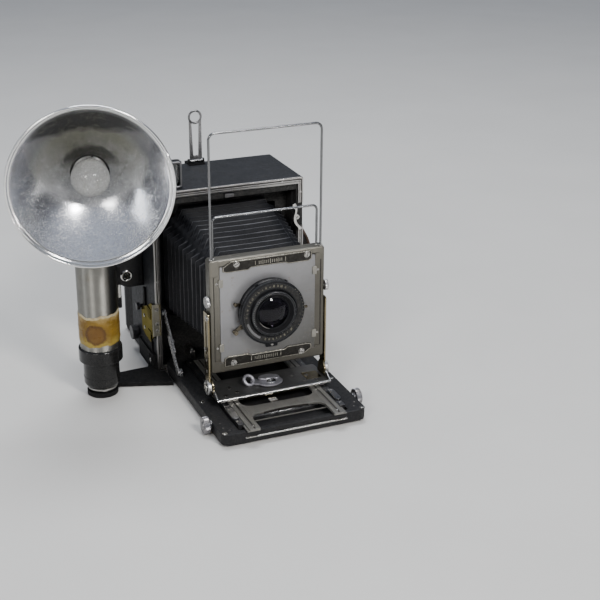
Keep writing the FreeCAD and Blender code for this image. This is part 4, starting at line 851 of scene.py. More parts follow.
# painted reflection: a dark arch just above the bulb
painted_dark_arch = m.math("MULTIPLY", m.ramp(m.math("ADD", lr, m.ramp(m.noise(16.0, 3.0), 0.3, 0.7, -2, 2)), 27.5, 31.0, 1.0, 0.0), m.ramp(lup, 6.0, 16.0))
m.tone(m.math("MULTIPLY", painted_dark_arch, 0.72), (0.11, 0.112, 0.115))
blot = m.math("MULTIPLY", m.ramp(m.noise(13.0, 5.0, 0.6, distort=1.2), 0.5, 0.7), m.ramp(lup, -60.0, 20.0, 0.25, 0.6))
m.tone(blot, (0.44, 0.43, 0.40))
sc1 = m.ramp(m.noise(1.1, 2.0, 0.5, stretch=(0.07, 0.6, 1.6), turn=(0.2, 1.1, 0.5)), 0.60, 0.72)
sc2 = m.ramp(m.noise(1.0, 2.0, 0.5, stretch=(1.5, 0.6, 0.08), turn=(0.5, -0.6, 0.2)), 0.61, 0.72)
cmb = m.node("CombineXYZ", X=m.math("MULTIPLY", lr, 0.001))
spin = m.noise(1.3, 3.0, 0.6, co=cmb.outputs[0])
m.bump(spin, 0.006)
m.bump(sc1, -0.010)
m.bump(sc2, -0.010)
m.bump(m.noise(24.0, 3.0, 0.5), 0.10)
specks = m.ramp(m.noise(2.4, 8.0, 0.75), 0.64, 0.73)
m.tone(m.math("MULTIPLY", specks, 0.7), (0.30, 0.29, 0.27))
wisp = m.ramp(m.noise(5.0, 7.0, 0.7, distort=1.5), 0.52, 0.66)
# painted reflections in the lower half: bluish mottling and white flecks of painted highlight
low = m.ramp(lup, -40.0, 6.0, 1.0, 0.0)
painted_blue_mottle = m.ramp(m.noise(2.6, 7.0, 0.78), 0.45, 0.60)
m.tone(m.math("MULTIPLY", m.math("MULTIPLY", low, painted_blue_mottle), 0.55), (0.47, 0.475, 0.54))
m.tone(m.math("MULTIPLY", m.math("MULTIPLY", low, m.ramp(m.noise(1.3, 4.0, 0.7), 0.54, 0.64)), 0.45), (0.97, 0.975, 1.0))
haze = m.ramp(lup, 0.0, -45.0, 0.0, 0.12)
m.rough(0.105, 0.035, 9.0, m.math("ADD", m.math("ADD", haze, m.math("MULTIPLY", wisp, 0.10)), m.math("ADD", m.math("MULTIPLY", sc1, 0.10), m.math("MULTIPLY", sc2, 0.10))))
m.set(Metallic=1.0)
MATS["reflector_bright"] = m.m

g = Geo()
# the neck walls are black: painted shade inside the neck
prof = [(19.0, -6.0), (19.0, -0.65), (19.25, -0.25)]
prof += [bowl(19.6 + (74.0 - 19.6) * i / 44) for i in range(45)]
kin = len(prof)
for i in range(1, 25):
    r = 74.0 + 3.5 * i / 24
    prof.append(bowl(r, -0.6 * math.exp(-((r - 75.9) / 0.5) ** 2)))
prof += [(78.8 + 1.3 * math.cos(rad(a)), 50.0 + 1.3 * math.sin(rad(a))) for a in range(162, -131, -14)]
krim = len(prof)
prof += [bowl(77.3 - (77.3 - 20.2) * i / 36, 0.8) for i in range(37)]
prof += [(19.85, -0.7), (19.8, -6.0)]
rev(g, L0, LN, prof, 168, lambda i: 3 if i < 2 else 0 if i < kin - 1 else 1 if i < krim else 2, close=True)
make("reflector_bowl", g, ["reflector_bright", "reflector_rim", "reflector_back", "black_inner"], "flash_gun", "reflector", sharp=60)

# socket: black floor of the neck, a painted shade deep in the socket; bright contact ring, bayonet slots
g = Geo()
rev(g, L0, LN, [(9.1, -2.55), (18.9, -2.55), (18.9, -2.1), (9.1, -2.1)], 48, 1, close=True)
rev(g, L0, LN, soft([(13.6, -2.3), (13.6, 1.0), (16.9, 1.0), (16.9, -2.3)], 0.5, 3, True), 64, 0, close=True)
for k in range(2):
    a = rad(25 + 180 * k)
    u, v, n = basis(LN)
    c = L0 + LN * 0.0 + (u * math.cos(a) + v * math.sin(a)) * 15.2
    cyl(g, c, c + LN * 1.6, 1.1, seg=14, mat=0)
make("lamp_socket", g, ["steel", "black_inner"], "flash_gun")

# flash bulb: clear envelope, crumpled foil, brass base with pins
g = Geo()
prof = [(6.9, -2.8), (7.2, -1.6), (7.9, -0.4), (9.3, 0.7)]
for i in range(0, 41):
    a = -math.asin(math.sqrt(max(0, 1 - (11.0 / 18.8) ** 2)) * 1.0)
    t = a + (math.pi / 2 - a) * i / 40
    prof.append((18.8 * math.cos(t), 16.0 + 18.8 * math.sin(t)))
prof = [(0, -3.0)] + prof
rev(g, L0, LN, prof, 72, 0)
make("bulb_envelope", g, ["bulb_clear"], "bulb", "flash_bulb", sharp=70)

from mathutils import noise as mnoise

bm = bmesh.new()
bmesh.ops.create_icosphere(bm, subdivisions=6, radius=1.0)
bm.verts.ensure_lookup_table()
vs = []
for v in bm.verts:
    p = v.co.copy()
    q = 17.2 + 0.5 * mnoise.noise(p * 6.0) + 0.5 * abs(mnoise.noise(p * 14.0)) - 0.8 * abs(mnoise.noise(p * 23.0)) - 0.45 * abs(mnoise.noise(p * 41.0))
    u, vv, n = basis(LN)
    w = p * q
    if w.z < -13.0:
        w.z = -13.0 + (w.z + 13.0) * 0.25
    vs.append(tuple(L0 + LN * (16.0 + w.z) + u * w.x + vv * w.y))
g = Geo().add(vs, [tuple(v.index for v in f.verts) for f in bm.faces], 0)
bm.free()
make("bulb_foil", g, ["bulb_foil"], "bulb", weight=False, sharp=25)
g = Geo()
rev(g, L0, LN, [(0, -16.0), (2.6, -16.0), (3.0, -15.2), (5.9, -14.6)] + soft([(7.5, -13.8), (7.5, -4.4), (7.9, -3.8), (7.9, -2.6), (7.3, -2.0), (0, -2.0)], 0.3, 2), 48, 0)
for k in range(2):
    a = rad(115 + 180 * k)
    u, v, n = basis(LN)
    e = u * math.cos(a) + v * math.sin(a)
    cyl(g, L0 + LN * -10.0 + e * 6.5, L0 + LN * -10.0 + e * 8.4, 0.9, seg=12, mat=0)
make("bulb_base", g, ["screw_metal"], "bulb")

# battery case: brushed tube, glossy black collar, dark inside
g = Geo()
rev(g, (GX, GY, 0), (0, 0, 1), [(19.2, 39.0)] + soft([(22.1, 39.0), (22.5, 39.4), (22.5, 52.9), (21.4, 54.0), (20.6, 54.2)], 0.5, 3) + [(20.5, 54.9), (20.5, 90.0), (20.5, 130.0), (20.5, 168.2)]
    + soft([(20.5, 168.2), (20.9, 168.6), (20.9, 171.3), (20.4, 171.9)], 0.2, 2)[1:] + [(19.2, 171.9), (19.2, 130.0), (19.2, 80.0)], 96,
    lambda i: 1 if i < 14 else 0, close=True)
# screw heads by the head
for a in (35, 145, 215, 325):
    e = Vector((math.cos(rad(a)), math.sin(rad(a)), 0))
    screw(g, Vector((GX, GY, 165.0)) + e * 20.3, e, 1.7, 0.7, 0.6, 3, 4)
make("battery_tube", g, ["brushed_tube", "black_gloss", "black_inner", "screw_metal", "slot_dark"], "flash_gun", "battery_case", sharp=40)

# trigger guard plate on the rear of the tube
g = Geo()
for k, (z0, z1, w) in enumerate(((146.5, 165.0, 0.62),)):
    rings = []
    for i in range(15):
        a = math.pi / 2 + w * (i / 14 - 0.5)
        rings.append([(GX + q * math.cos(a), GY + q * math.sin(a), z) for q, z in ((20.45, z0), (21.25, z0 + 0.4), (21.25, z1 - 0.4), (20.45, z1))])
    g.grid(rings, True, 0, cap0=True, cap1=True)
make("trigger_plate", g, ["black_gloss"], "flash_gun")

# old tape round the grip
random.seed(11)
ph = [random.uniform(0, TAU) for _ in range(12)]


def wav(t, k0, amp):
    return amp * (math.sin(t * 2 + ph[k0]) * 0.5 + math.sin(t * 5 + ph[k0 + 1]) * 0.35 + math.sin(t * 11 + ph[k0 + 2]) * 0.22 + math.sin(t * 23 + ph[k0 + 3]) * 0.10)


g = Geo()
rings = []
nz = 28
for i in range(nz + 1):
    s = i / nz
    ring = []
    for k in range(144):
        t = TAU * k / 144
        z0, z1 = 60.2 + wav(t, 0, 1.6), 93.2 + wav(t, 4, 2.0)
        z = z0 + (z1 - z0) * s
        p = Vector((math.cos(t) * 3, math.sin(t) * 3, z * 0.12))
        lift = 0.30 * mnoise.noise(p * 1.7) + 0.16 * mnoise.noise(p * 5.0) + 0.22 * max(0, math.sin(z * 0.42 + 1.5 * math.sin(t))) ** 6
        q = 20.62 + (0.42 + lift) * min(1.0, min(s, 1 - s) * 9 + 0.25)
        ring.append((GX + q * math.cos(t), GY + q * math.sin(t), z))
    rings.append(ring)
inner = [[(GX + 20.42 * math.cos(TAU * k / 144), GY + 20.42 * math.sin(TAU * k / 144), rings[j][k][2]) for k in range(144)] for j in (-1, 0)]
g.grid(rings + inner, True, lambda i: 1 if i >= nz - 2 and i < nz + 1 else 0, loop=True)
make("grip_tape", g, ["grip_tape", "tape_edge"], "flash_gun", sharp=60)

# end cap: black shell, bright ring, contact button
g = Geo()
rev(g, (GX, GY, 0), (0, 0, 1), [(0, 6.4), (9.0, 6.2), (11.2, 5.2)] + soft([(11.8, 4.8), (12.9, 5.2), (13.3, 6.6)], 0.4, 2) + [(13.35, 7.0)], 72, 0)
rev(g, (GX, GY, 0), (0, 0, 1), soft([(12.0, 6.9), (14.9, 7.0), (15.3, 8.0), (15.0, 9.2), (12.0, 9.3)], 0.4, 3, True), 72, 1, close=True)
rev(g, (GX, GY, 0), (0, 0, 1), [(12.0, 9.1), (14.8, 9.1)] + soft([(16.2, 10.1), (18.5, 13.2), (18.5, 38.4), (18.2, 38.7)], 1.6, 4) + [(16.9, 38.7), (16.9, 45.0), (16.0, 45.0), (16.0, 12.0), (12.0, 12.0)], 96, 0, close=True)
rev(g, (GX, GY, 0), (0, 0, 1), [(18.4, 20.0), (18.75, 20.3), (18.75, 21.2), (18.4, 21.5)], 96, 0, close=True)
for k in range(3):
    e = Vector((math.cos(rad(265 + 120 * k)), math.sin(rad(265 + 120 * k)), 0))
    t = Vector((-e.y, e.x, 0))
    c = Vector((GX, GY, 8.1)) + e * 15.0
    pts = [c + t * x + Vector((0, 0, 1)) * z for x, z in ((-2.6, -1.0), (2.6, -1.0), (2.6, 1.0), (-2.6, 1.0))]
    g.add([tuple(p - e * 0.6) for p in pts] + [tuple(p + e * 0.7) for p in pts], [(3, 2, 1, 0), (4, 5, 6, 7), (0, 1, 5, 4), (1, 2, 6, 5), (2, 3, 7, 6), (3, 0, 4, 7)], 1)
make("tube_cap", g, ["black_gloss", "ring_satin"], "cap", "end_cap", bevel=0.12, angle=50)
# ------------------------------------------------------------------ bellows: thirteen folds, split where the bodies meet
random.seed(5)
NF = 13
BY0, BY1 = 24.0, -98.7
FOLD = [(0.0, 1.0), (0.045, 0.96), (0.11, 0.80), (0.21, 0.55), (0.32, 0.30), (0.43, 0.07), (0.5, 0.0), (0.57, 0.07), (0.68, 0.30), (0.79, 0.55), (0.89, 0.80), (0.955, 0.96)]


def oct_points(hw, z0, z1, ch, ns=9, nc=4):
    c = [(-hw, z0 + ch), (-hw, z1 - ch), (-hw + ch, z1), (hw - ch, z1), (hw, z1 - ch), (hw, z0 + ch), (hw - ch, z0), (-hw + ch, z0)]
    out = []
    for i in range(8):
        p, q = c[i], c[(i + 1) % 8]
        n = ns if i % 2 == 0 else nc
        for k in range(n):
            t = k / n
            kk = 0.0 if i % 2 == 0 else 1 - abs(2 * t - 1)
            out.append((p[0] + (q[0] - p[0]) * t, p[1] + (q[1] - p[1]) * t, kk, i, t))
    return out


jit = [random.uniform(-0.045, 0.045) for _ in range(NF + 2)]
amp = [random.uniform(-0.06, 0.03) for _ in range(NF + 2)]
brings, binner = [], []
for j in range(NF):
    for q, f in FOLD + ([(1.0, 1.0)] if j == NF - 1 else []):
        ja = jit[j] * (1 - q) + jit[j + 1] * q if 0 < j < NF - 1 else 0.0
        u = (j + q + ja) / NF
        y = BY0 + (BY1 - BY0) * u
        wall = 6.4 + (5.2 - 6.4) * u
        hull = [70.0 + (54.0 - 70.0) * u, 46.0 + 8.0 * u, 178.0 - 21.0 * u, 22.0 - 6.0 * u]
        outer = oct_points(*hull)
        inner = oct_points(hull[0] - wall, hull[1] + wall, hull[2] - wall, hull[3] - wall * 0.6)
        ring, rin = [], []
        for (a, b, k, side, t), (c, d, _, _, _) in zip(outer, inner):
            g_ = f * (1 - k) + (1 - f) * k
            w = g_ + (amp[j] + 0.05 * math.sin(a * 0.11 + j * 2.1) * math.cos(b * 0.09 + j)) * g_
            w = max(0.0, min(1.0, w))
            sag = -0.5 * math.sin(math.pi * t) * (1 if side == 2 else 0) * f
            x, z = c + (a - c) * w, d + (b - d) * w + sag
            ring.append((x, y, z))
            mx = math.hypot(x, z - 108)
            rin.append((x * (1 - 0.9 / mx), y, 108 + (z - 108) * (1 - 0.9 / mx)))
        brings.append(ring)
        binner.append(rin)

# fold crests use the lighter bellows_edge leather: wear along the ridges, and in part a painted highlight on them
crest = [q < 0.01 or q > 0.95 for j in range(NF) for q, f in FOLD]
cuts = []
for y in (BY0, -2.0, -22.0, -42.0, -52.0, -88.0, BY1):
    cuts.append(min(range(len(brings)), key=lambda i: abs(brings[i][0][1] - y)))
cuts[0], cuts[-1] = 0, len(brings) - 1
for s in range(6):
    i0, i1 = cuts[s], cuts[s + 1]
    g = Geo()
    n = i1 - i0
    g.grid(brings[i0:i1 + 1] + binner[i0:i1 + 1][::-1], True, lambda i, i0=i0, n=n: 2 if i >= n else 1 if crest[min(i0 + i, len(crest) - 1)] else 0, loop=True)
    o = make("bellows_%d" % (s + 1), g, ["bellows_leather", "bellows_edge", "black_inner"], None, "bellows", ride=False, sharp=75, weight=False)
    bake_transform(o)
# ------------------------------------------------------------------ lens standard
FY0, FY1 = -111.5, -99.0
LX, LZ = 0.3, 105.5
NY = (0, -1, 0)


def inset(pts, d):
    # polygon moved inward by d (positive for either winding)
    n = len(pts)
    ar = sum(pts[i][0] * pts[(i + 1) % n][1] - pts[(i + 1) % n][0] * pts[i][1] for i in range(n))
    sg = 1 if ar > 0 else -1
    out = []
    for i in range(n):
        a, b, c = Vector(pts[i - 1]), Vector(pts[i]), Vector(pts[(i + 1) % n])
        e, f = (b - a).normalized(), (c - b).normalized()
        n1, n2 = Vector((-e.y, e.x)) * sg, Vector((-f.y, f.x)) * sg
        m = n1 + n2
        m = m / max(0.35, m.length_squared / 2)
        out.append(tuple(b + m * d))
    return out


def slab(g, axis, pts, a0, a1, mat=0, bev=0.25, top=None, back=None):
    # plate from an outline with its front edge (a0 side) and back edge eased
    s = 1 if a1 > a0 else -1
    seq = [(bev, a0), (0.0, a0 + s * bev), (0.0, a1 - s * bev * 0.6), (bev * 0.6, a1)]
    rings = [at(axis, inset(pts, o) if o else pts, a) for o, a in seq]
    return g.grid(rings, True, mat, cap0=True, cap1=True)


# lens frame
g = Geo()
bo = [rrect(-60.4, 60.4, 43.6, 162.9, 2.0, 6), rrect(-61, 61, 43.0, 163.5, 2.4, 6)]
R = lambda i, x, z0, z1, r, y: at("y", rrect(-x, x, z0, z1, r, 6), y)
rings = [R(0, 46.0, 60.0, 150.0, 2.0, FY1), R(0, 60.4, 43.6, 162.9, 2.0, FY1), R(0, 61.0, 43.0, 163.5, 2.4, FY1 - 0.6),
         R(0, 61.0, 43.0, 163.5, 2.4, FY0 + 1.6), R(0, 60.75, 43.25, 163.25, 2.3, FY0 + 0.75), R(0, 60.2, 43.8, 162.7, 2.2, FY0 + 0.2), R(0, 59.3, 44.7, 161.8, 2.0, FY0),
         R(0, 57.6, 53.0, 157.4, 4.4, FY0), R(0, 57.1, 53.5, 156.9, 4.2, FY0 + 0.12), R(0, 56.6, 54.0, 156.4, 4.0, FY0 + 0.75), R(0, 56.3, 54.2, 156.2, 3.8, FY0 + 0.8),
         R(0, 50.9, 54.3, 156.1, 1.5, FY0 + 0.8), R(0, 50.8, 54.4, 156.0, 1.5, FY0 + 4.0), R(0, 46.0, 60.0, 150.0, 2.0, FY0 + 4.0)]
g.grid(rings, True, lambda i: 1 if i in (7, 8) else 2 if i >= 12 else 0, loop=True)
for s in (-1, 1):
    for z0, z1 in ((150.0, 156.7), (53.8, 56.0)):
        a, b = sorted((s * 50.95, s * 58.0))
        box(g, a, b, FY0 + 0.02, FY0 + 2.0, z0, z1, 0)
    # tabs that hold the board, each with a screw beside it
    for z in (139.0, 70.0):
        a, b = sorted((s * 47.6, s * 52.4))
        slab(g, "y", rrect(a, b, z - 4.2, z + 4.2, 1.0, 3), FY0 - 0.85, FY0 + 0.8, 3, 0.3)
        screw(g, (s * 53.9, FY0 + 0.8, z), NY, 1.3, 0.5, 0.5 + z, 4, 5)
    # fixed guide stud beside the upright
    cyl(g, (s * 60.6, -104, 68), (s * 64.2, -104, 68), 1.2, mat=4)
    screw(g, (s * 64.1, -104, 68), (s, 0, 0), 2.7, 1.1, 0.7, 4, 5)
    # collars where the finder wires enter
    rev(g, (s * 58, -107.5, 163.3), (0, 0, 1), [(1.25, 0), (2.2, 0), (2.2, 0.7), (1.9, 1.0), (1.25, 1.0)], 20, 4, close=True)
    rev(g, (s * 55, -104.2, 163.3), (0, 0, 1), [(1.25, 0), (2.1, 0), (2.1, 0.6), (1.8, 0.9), (1.25, 0.9)], 20, 4, close=True)
# raised block on the upper left corner
slab(g, "y", rrect(-61.3, -51.3, 146.5, 163.6, 2.6, 5), FY0 - 0.9, FY0 + 1.0, 0, 0.9)
make("lens_frame_casting", g, ["frame_beige", "slot_dark", "black_inner", "tab_light", "screw_metal", "slot_dark"], "lens_frame", "front_frame", sharp=50)

# lens board with rolled edge and opening
g = Geo()
rings = [at("y", rrect(-50.2, 50.2, 55.0, 155.4, 1.2, 11), FY0 + 4.0), at("y", rrect(-50.8, 50.8, 54.4, 156.0, 1.5, 11), FY0 + 3.6),
         at("y", rrect(-50.8, 50.8, 54.4, 156.0, 1.5, 11), FY0 + 0.5), at("y", rrect(-50.6, 50.6, 54.6, 155.8, 1.5, 11), FY0 + 0.12), at("y", rrect(-50.0, 50.0, 55.2, 155.2, 1.5, 11), FY0)]
n = len(rings[0])
circ = [[(LX + r * math.cos(math.atan2(z - 105.2, x)), y, LZ + r * math.sin(math.atan2(z - 105.2, x))) for x, _, z in rings[-1]] for r, y in ((36.4, FY0), (36.2, FY0 + 0.15), (35.9, FY0 + 0.15), (35.7, FY0), (25.3, FY0), (25.0, FY0 + 0.3), (25.0, FY0 + 4.0))]
g.grid(rings + circ, True, 0, loop=True)
make("lens_board_panel", g, ["board_grey"], "lens_frame", "lens_board", sharp=50)

# board slides: dark blackened plates with bright rubbed rims, and their screws
up_out = [(-48, 151.2), (-48, 156.0), (-39.5, 161.2), (46.6, 161.2), (46.6, 152.4), (43, 150.4), (21, 150.4), (18, 152.1), (-18, 152.1), (-21, 149.9), (-44, 149.9)]
cz = 157.8 + 52.6
lo_out = [(-x - 1, cz - z) for x, z in up_out]
for nm, body, node, out, scr in (("upper_slide", "slide_up", "board_slide_upper", up_out, ((-33.8, 157.8), (41.0, 157.8))), ("lower_slide", "slide_low", "board_slide_lower", lo_out, ((-37.9, 52.6), (35.8, 52.6)))):
    g = Geo()
    out = soft(out, 0.8, 2, True)
    slab(g, "y", out, -112.85, -111.75, 0, 0.3)
    i1 = inset(out, 1.0)
    slab(g, "y", i1, -113.0, -112.6, 1, 0.12)
    # pressed lines and plain ticks where the plate was engraved
    zc = 156.4 if node.endswith("upper") else cz - 156.4
    for k in range(-8, 9):
        h = 3.4 if k % 4 else 4.4
        x = k * 2.0 + (2 if zc > 100 else -3)
        g2 = [(x - 0.34, zc - h / 2), (x + 0.34, zc - h / 2), (x + 0.34, zc + h / 2), (x - 0.34, zc + h / 2)]
        if abs(k) != 7:
            prism(g, "y", g2, -113.06, -112.9, 2)
    # open keyholes by the screws
    for x, z in scr:
        zz = z - 2.4 if node.endswith("upper") else z + 2.4
        slab(g, "y", capsule((x, zz - 1.9), (x, zz + 1.9), 1.7, 6), -113.04, -112.7, 3, 0.1)
    make(nm, g, ["slide_edge", "slide_dark", "slide_edge", "slot_dark"], body, node, sharp=45)
g = Geo()
for k, (x, z) in enumerate(((-33.8, 157.8), (41.0, 157.8), (-37.9, 52.6), (35.8, 52.6))):
    cyl(g, (x, -106.5, z), (x, -113.2, z), 1.2, seg=16, mat=0)
    rev(g, (x, -113.05, z), NY, [(0, 0), (3.3, 0), (3.2, 0.25), (0, 0.25)], 28, 0)
    screw(g, (x, -113.25, z), NY, 2.6, 1.15, 0.5 + k * 0.8, 0, 1, 0.13)
make("slide_screw_heads", g, ["screw_metal", "slot_dark"], "lens_frame", "slide_screws", sharp=40)

# leaf shutter case: stepped black housing with a lug, bright worn rims
g = Geo()
prof = [(20.1, 103.0), (24.9, 103.0), (24.9, 111.3), (30.6, 111.6), (31.0, 112.0), (31.0, 116.6), (33.1, 116.8), (33.5, 117.3), (33.5, 120.4), (33.2, 120.9), (32.6, 121.05), (20.3, 121.05), (20.1, 120.8)]
rev(g, (LX, 0, LZ), NY, prof, 144, lambda i: 1 if i in (7, 9) else 0, close=True)
rev(g, (LX, 0, LZ), NY, soft([(25.1, 105.2), (29.0, 105.2), (29.0, 107.4), (25.1, 107.4)], 0.3, 2, True), 60, 0, close=True)
slab(g, "y", [(LX - 6, LZ - 38.3), (LX + 6, LZ - 38.3), (LX + 6.8, LZ - 31.5), (LX - 6.8, LZ - 31.5)], -120.9, -116.6, 0, 0.5)
screw(g, (LX, -120.8, LZ - 35.8), NY, 1.3, 0.5, 0.9, 2, 3)
# small housings on the rim: release post, scale window, cable socket
for a, w, mat in ((118, 4.2, 0), (62, 3.6, 0), (262, 3.0, 2)):
    e = Vector((math.cos(rad(a)), 0, math.sin(rad(a))))
    c = Vector((LX, -118.8, LZ)) + e * 33.0
    cyl(g, c - e * 1.0, c + e * 1.6, w * 0.5, seg=20, mat=mat, bev=0.4)
make("shutter_housing", g, ["shutter_black", "shutter_worn", "screw_metal", "slot_dark"], "lens_frame", "shutter_case", sharp=35)

# speed ring: finely serrated rim, face band with plain ticks
g = Geo()
NS = 96
ser = lambda t, i: 1.0 - (0.011 * (0.5 + 0.5 * math.cos(t * NS)) if i in (2, 3, 4) else 0.0)
prof = [(24.7, 121.3), (33.0, 121.3), (33.6, 121.7), (34.0, 122.1), (34.0, 124.1), (33.3, 124.75), (31.4, 125.0), (31.0, 124.95), (30.8, 124.55), (26.1, 124.5), (25.9, 125.0), (24.9, 125.0), (24.7, 124.8)]
rev(g, (LX, 0, LZ), NY, prof, 288, lambda i: 1 if i in (4, 6, 9) else 2 if i == 8 else 0, rmod=ser, close=True)


def face_mark(g, a, r0, r1, w, y, mat, t=0.07):
    e = Vector((math.cos(rad(a)), 0, math.sin(rad(a))))
    s = Vector((-e.z, 0, e.x))
    c = Vector((LX, y, LZ))
    q = [c + e * r0 - s * w, c + e * r0 + s * w, c + e * r1 + s * w, c + e * r1 - s * w]
    f = [p + Vector((0, -t, 0)) for p in q]
    g.add([tuple(p) for p in q + f], [(0, 3, 2, 1), (4, 5, 6, 7), (0, 1, 5, 4), (1, 2, 6, 5), (2, 3, 7, 6), (3, 0, 4, 7)], mat)


random.seed(21)
for k in range(30):
    a = 62 + k * 8.6
    if 188 < a < 244 or a > 318:
        continue
    for j in range(random.choice((1, 2, 2, 3))):
        face_mark(g, a + j * 1.7, 27.3, 27.3 + random.choice((1.5, 2.1, 2.5)), 0.16, -124.53, 3)
for k in range(14):
    face_mark(g, -38 + k * 6.2, 31.5, 32.9, 0.13, -124.9, 3, 0.1)
# curved scale plate at the lower left
rings = []
for i in range(17):
    a = rad(196 + 44 * i / 16)
    q0, q1 = 27.2, 29.6
    rings.append([(LX + q * math.cos(a), y, LZ + q * math.sin(a)) for q, y in ((q0, -124.5), (q0 + 0.15, -124.8), (q1 - 0.15, -124.8), (q1, -124.5))])
g.grid(rings, True, 4, cap0=True, cap1=True)
make("speed_dial", g, ["shutter_black", "shutter_worn", "black_inner", "mark_gold", "scale_grey"], "speed", "speed_ring", sharp=30, weight=False)

# lens barrel: milled front ring, stepped black cone
g = Geo()
mill = lambda t, i: 1.0 - (0.010 * (0.5 + 0.5 * math.cos(t * 72)) if i in (2, 3, 4) else 0.0)
prof = [(17.7, 121.1), (23.4, 121.1), (23.7, 121.5), (23.8, 122.4), (23.8, 124.6), (23.3, 125.0), (23.2, 125.6), (23.6, 126.0), (23.6, 127.3), (23.1, 127.85), (22.5, 128.0), (22.3, 127.8), (21.7, 127.8), (21.5, 128.0), (20.9, 128.0)]
st = 7
for i in range(st):
    r = 20.7 - (20.7 - 17.75) * i / (st - 1)
    d = 127.6 - 3.4 * i / (st - 1)
    prof += [(r, d), (r - 0.1, d - 0.34), (r - 0.38, d - 0.40)] if i < st - 1 else [(r, d)]
rev(g, (LX, 0, LZ), NY, prof, 216, lambda i: 1 if i in (8, 9, 13) else 2 if i > 14 else 0, rmod=mill, close=True)
rev(g, (LX, 0, LZ), NY, soft([(15.9, 124.15), (17.6, 124.15), (17.6, 125.3), (16.8, 125.4)], 0.12, 2, True), 96, 0, close=True)
for k in range(22):
    face_mark(g, 100 + k * 5.4 * (1 if k % 5 else 1.0), 21.8, 22.3, 0.12, -127.8, 3, 0.08)
# bright arc on the retaining ring at the lower left: a painted highlight
rings = []
for i in range(17):
    a = rad(206 + 52 * i / 16)
    h = 0.18 * math.sin(math.pi * min(1.0, max(0.02, i / 16)))
    rings.append([(LX + q * math.cos(a), y, LZ + q * math.sin(a)) for q, y in ((16.62 - h, -125.4), (16.62 - h, -125.52), (16.62 + h, -125.52), (16.62 + h, -125.4))])
g.grid(rings, True, 4, cap0=True, cap1=True)
make("lens_barrel_ring", g, ["shutter_black", "shutter_worn", "cone_black", "mark_white", "bar_bright"], "lens_frame", "lens_barrel", sharp=28, weight=False)

# glass: domed front element, rear element, and the inner ring seen through it
g = Geo()
dome = [(0.0, 121.2), (17.4, 121.2), (17.5, 121.35), (17.5, 123.9)] + [(17.4 * math.cos(rad(a)), 100.54 + math.sqrt(max(0, 28.0 ** 2 - (17.4 * math.cos(rad(a))) ** 2))) for a in range(2, 90, 5)] + [(0.0, 128.54)]
dome = [(r, min(a, 128.5)) for r, a in dome]
rev(g, (LX, 0, LZ), NY, dome, 72, 0)
rev(g, (LX, 0, LZ), NY, [(0, 105.0), (19.8, 105.0), (20.0, 105.2), (20.0, 107.6), (19.0, 108.0)] + [(19.0 * math.cos(rad(a)), 108.0 + 0.5 * math.sin(rad(a))) for a in range(15, 90, 15)] + [(0, 108.5)], 64, 0)
make("lens_elements", g, ["lens_coated"], "lens_frame", "lens_glass", sharp=60)
g = Geo()
for r0, r1, d0, d1, mt in ((11.6, 16.6, 119.4, 120.9, 0), (10.6, 11.5, 119.2, 120.5, 1), (13.6, 14.2, 120.8, 121.05, 1)):
    rev(g, (LX, 0, LZ), NY, soft([(r0, d0), (r1, d0), (r1, d1), (r0, d1)], 0.15, 2, True), 72, mt, close=True)
make("inner_cell", g, ["black_inner", "shutter_worn"], "lens_frame", sharp=35)

# levers round the shutter neck
for nm, body, node, y0, y1, ang, ro, w, post, pl in (("cocking_arm", "cocking", "cocking_lever", -113.0, -111.9, 208, 41.5, 2.4, 2.4, -117.4), ("release_arm", "shutter_release", "release_lever", -114.5, -113.4, 164, 38.0, 2.0, 1.9, -116.9), ("aperture_pointer", "aperture", "aperture_lever", -116.0, -114.9, 356, 39.5, 1.6, 0.0, 0)):
    g = Geo()
    rev(g, (LX, 0, LZ), NY, soft([(31.35, -y1), (32.9, -y1), (32.9, -y0), (31.35, -y0)], 0.12, 1, True), 96, 2, close=True)
    e = Vector((math.cos(rad(ang)), 0, math.sin(rad(ang))))
    s = Vector((-e.z, 0, e.x))
    pts = []
    for d, q in ((32.0, w * 1.25), (ro - w * 1.2, w * 0.8)):
        pts.append((d, q))
    outl = [(32.0, -w * 1.25), (34.5, -w * 0.85), (ro - w, -w * 0.72)] + [(ro + w * 0.95 * math.cos(rad(b)), w * 0.95 * math.sin(rad(b))) for b in range(-80, 81, 16)] + [(ro - w, w * 0.72), (34.5, w * 0.85), (32.0, w * 1.25)]
    P = [(LX + e.x * d + s.x * q, LZ + e.z * d + s.z * q) for d, q in outl]
    slab(g, "y", P, y0, y1, 0, 0.2)
    if post:
        c = Vector((LX, 0, LZ)) + e * ro
        prof = soft([(0, 0), (post, 0), (post, 1.6), (post * 0.72, 2.1), (post * 0.72, abs(pl - y0) - 1.9), (post, abs(pl - y0) - 1.4), (post, abs(pl - y0)), (0, abs(pl - y0))], 0.3, 2)
        rev(g, (c.x, y0 - 0.0 + 0.1, c.z), NY, prof, 30, 0, rmod=lambda t, i: 1 - 0.03 * (0.5 + 0.5 * math.cos(t * 15)))
    else:
        screw(g, (LX + e.x * (ro - 0.2), y0, LZ + e.z * (ro - 0.2)), NY, 1.0, 0.4, 0.4, 0, 1)
    make(nm, g, ["lever_brass", "slot_dark", "shutter_black"], body, node, sharp=38)

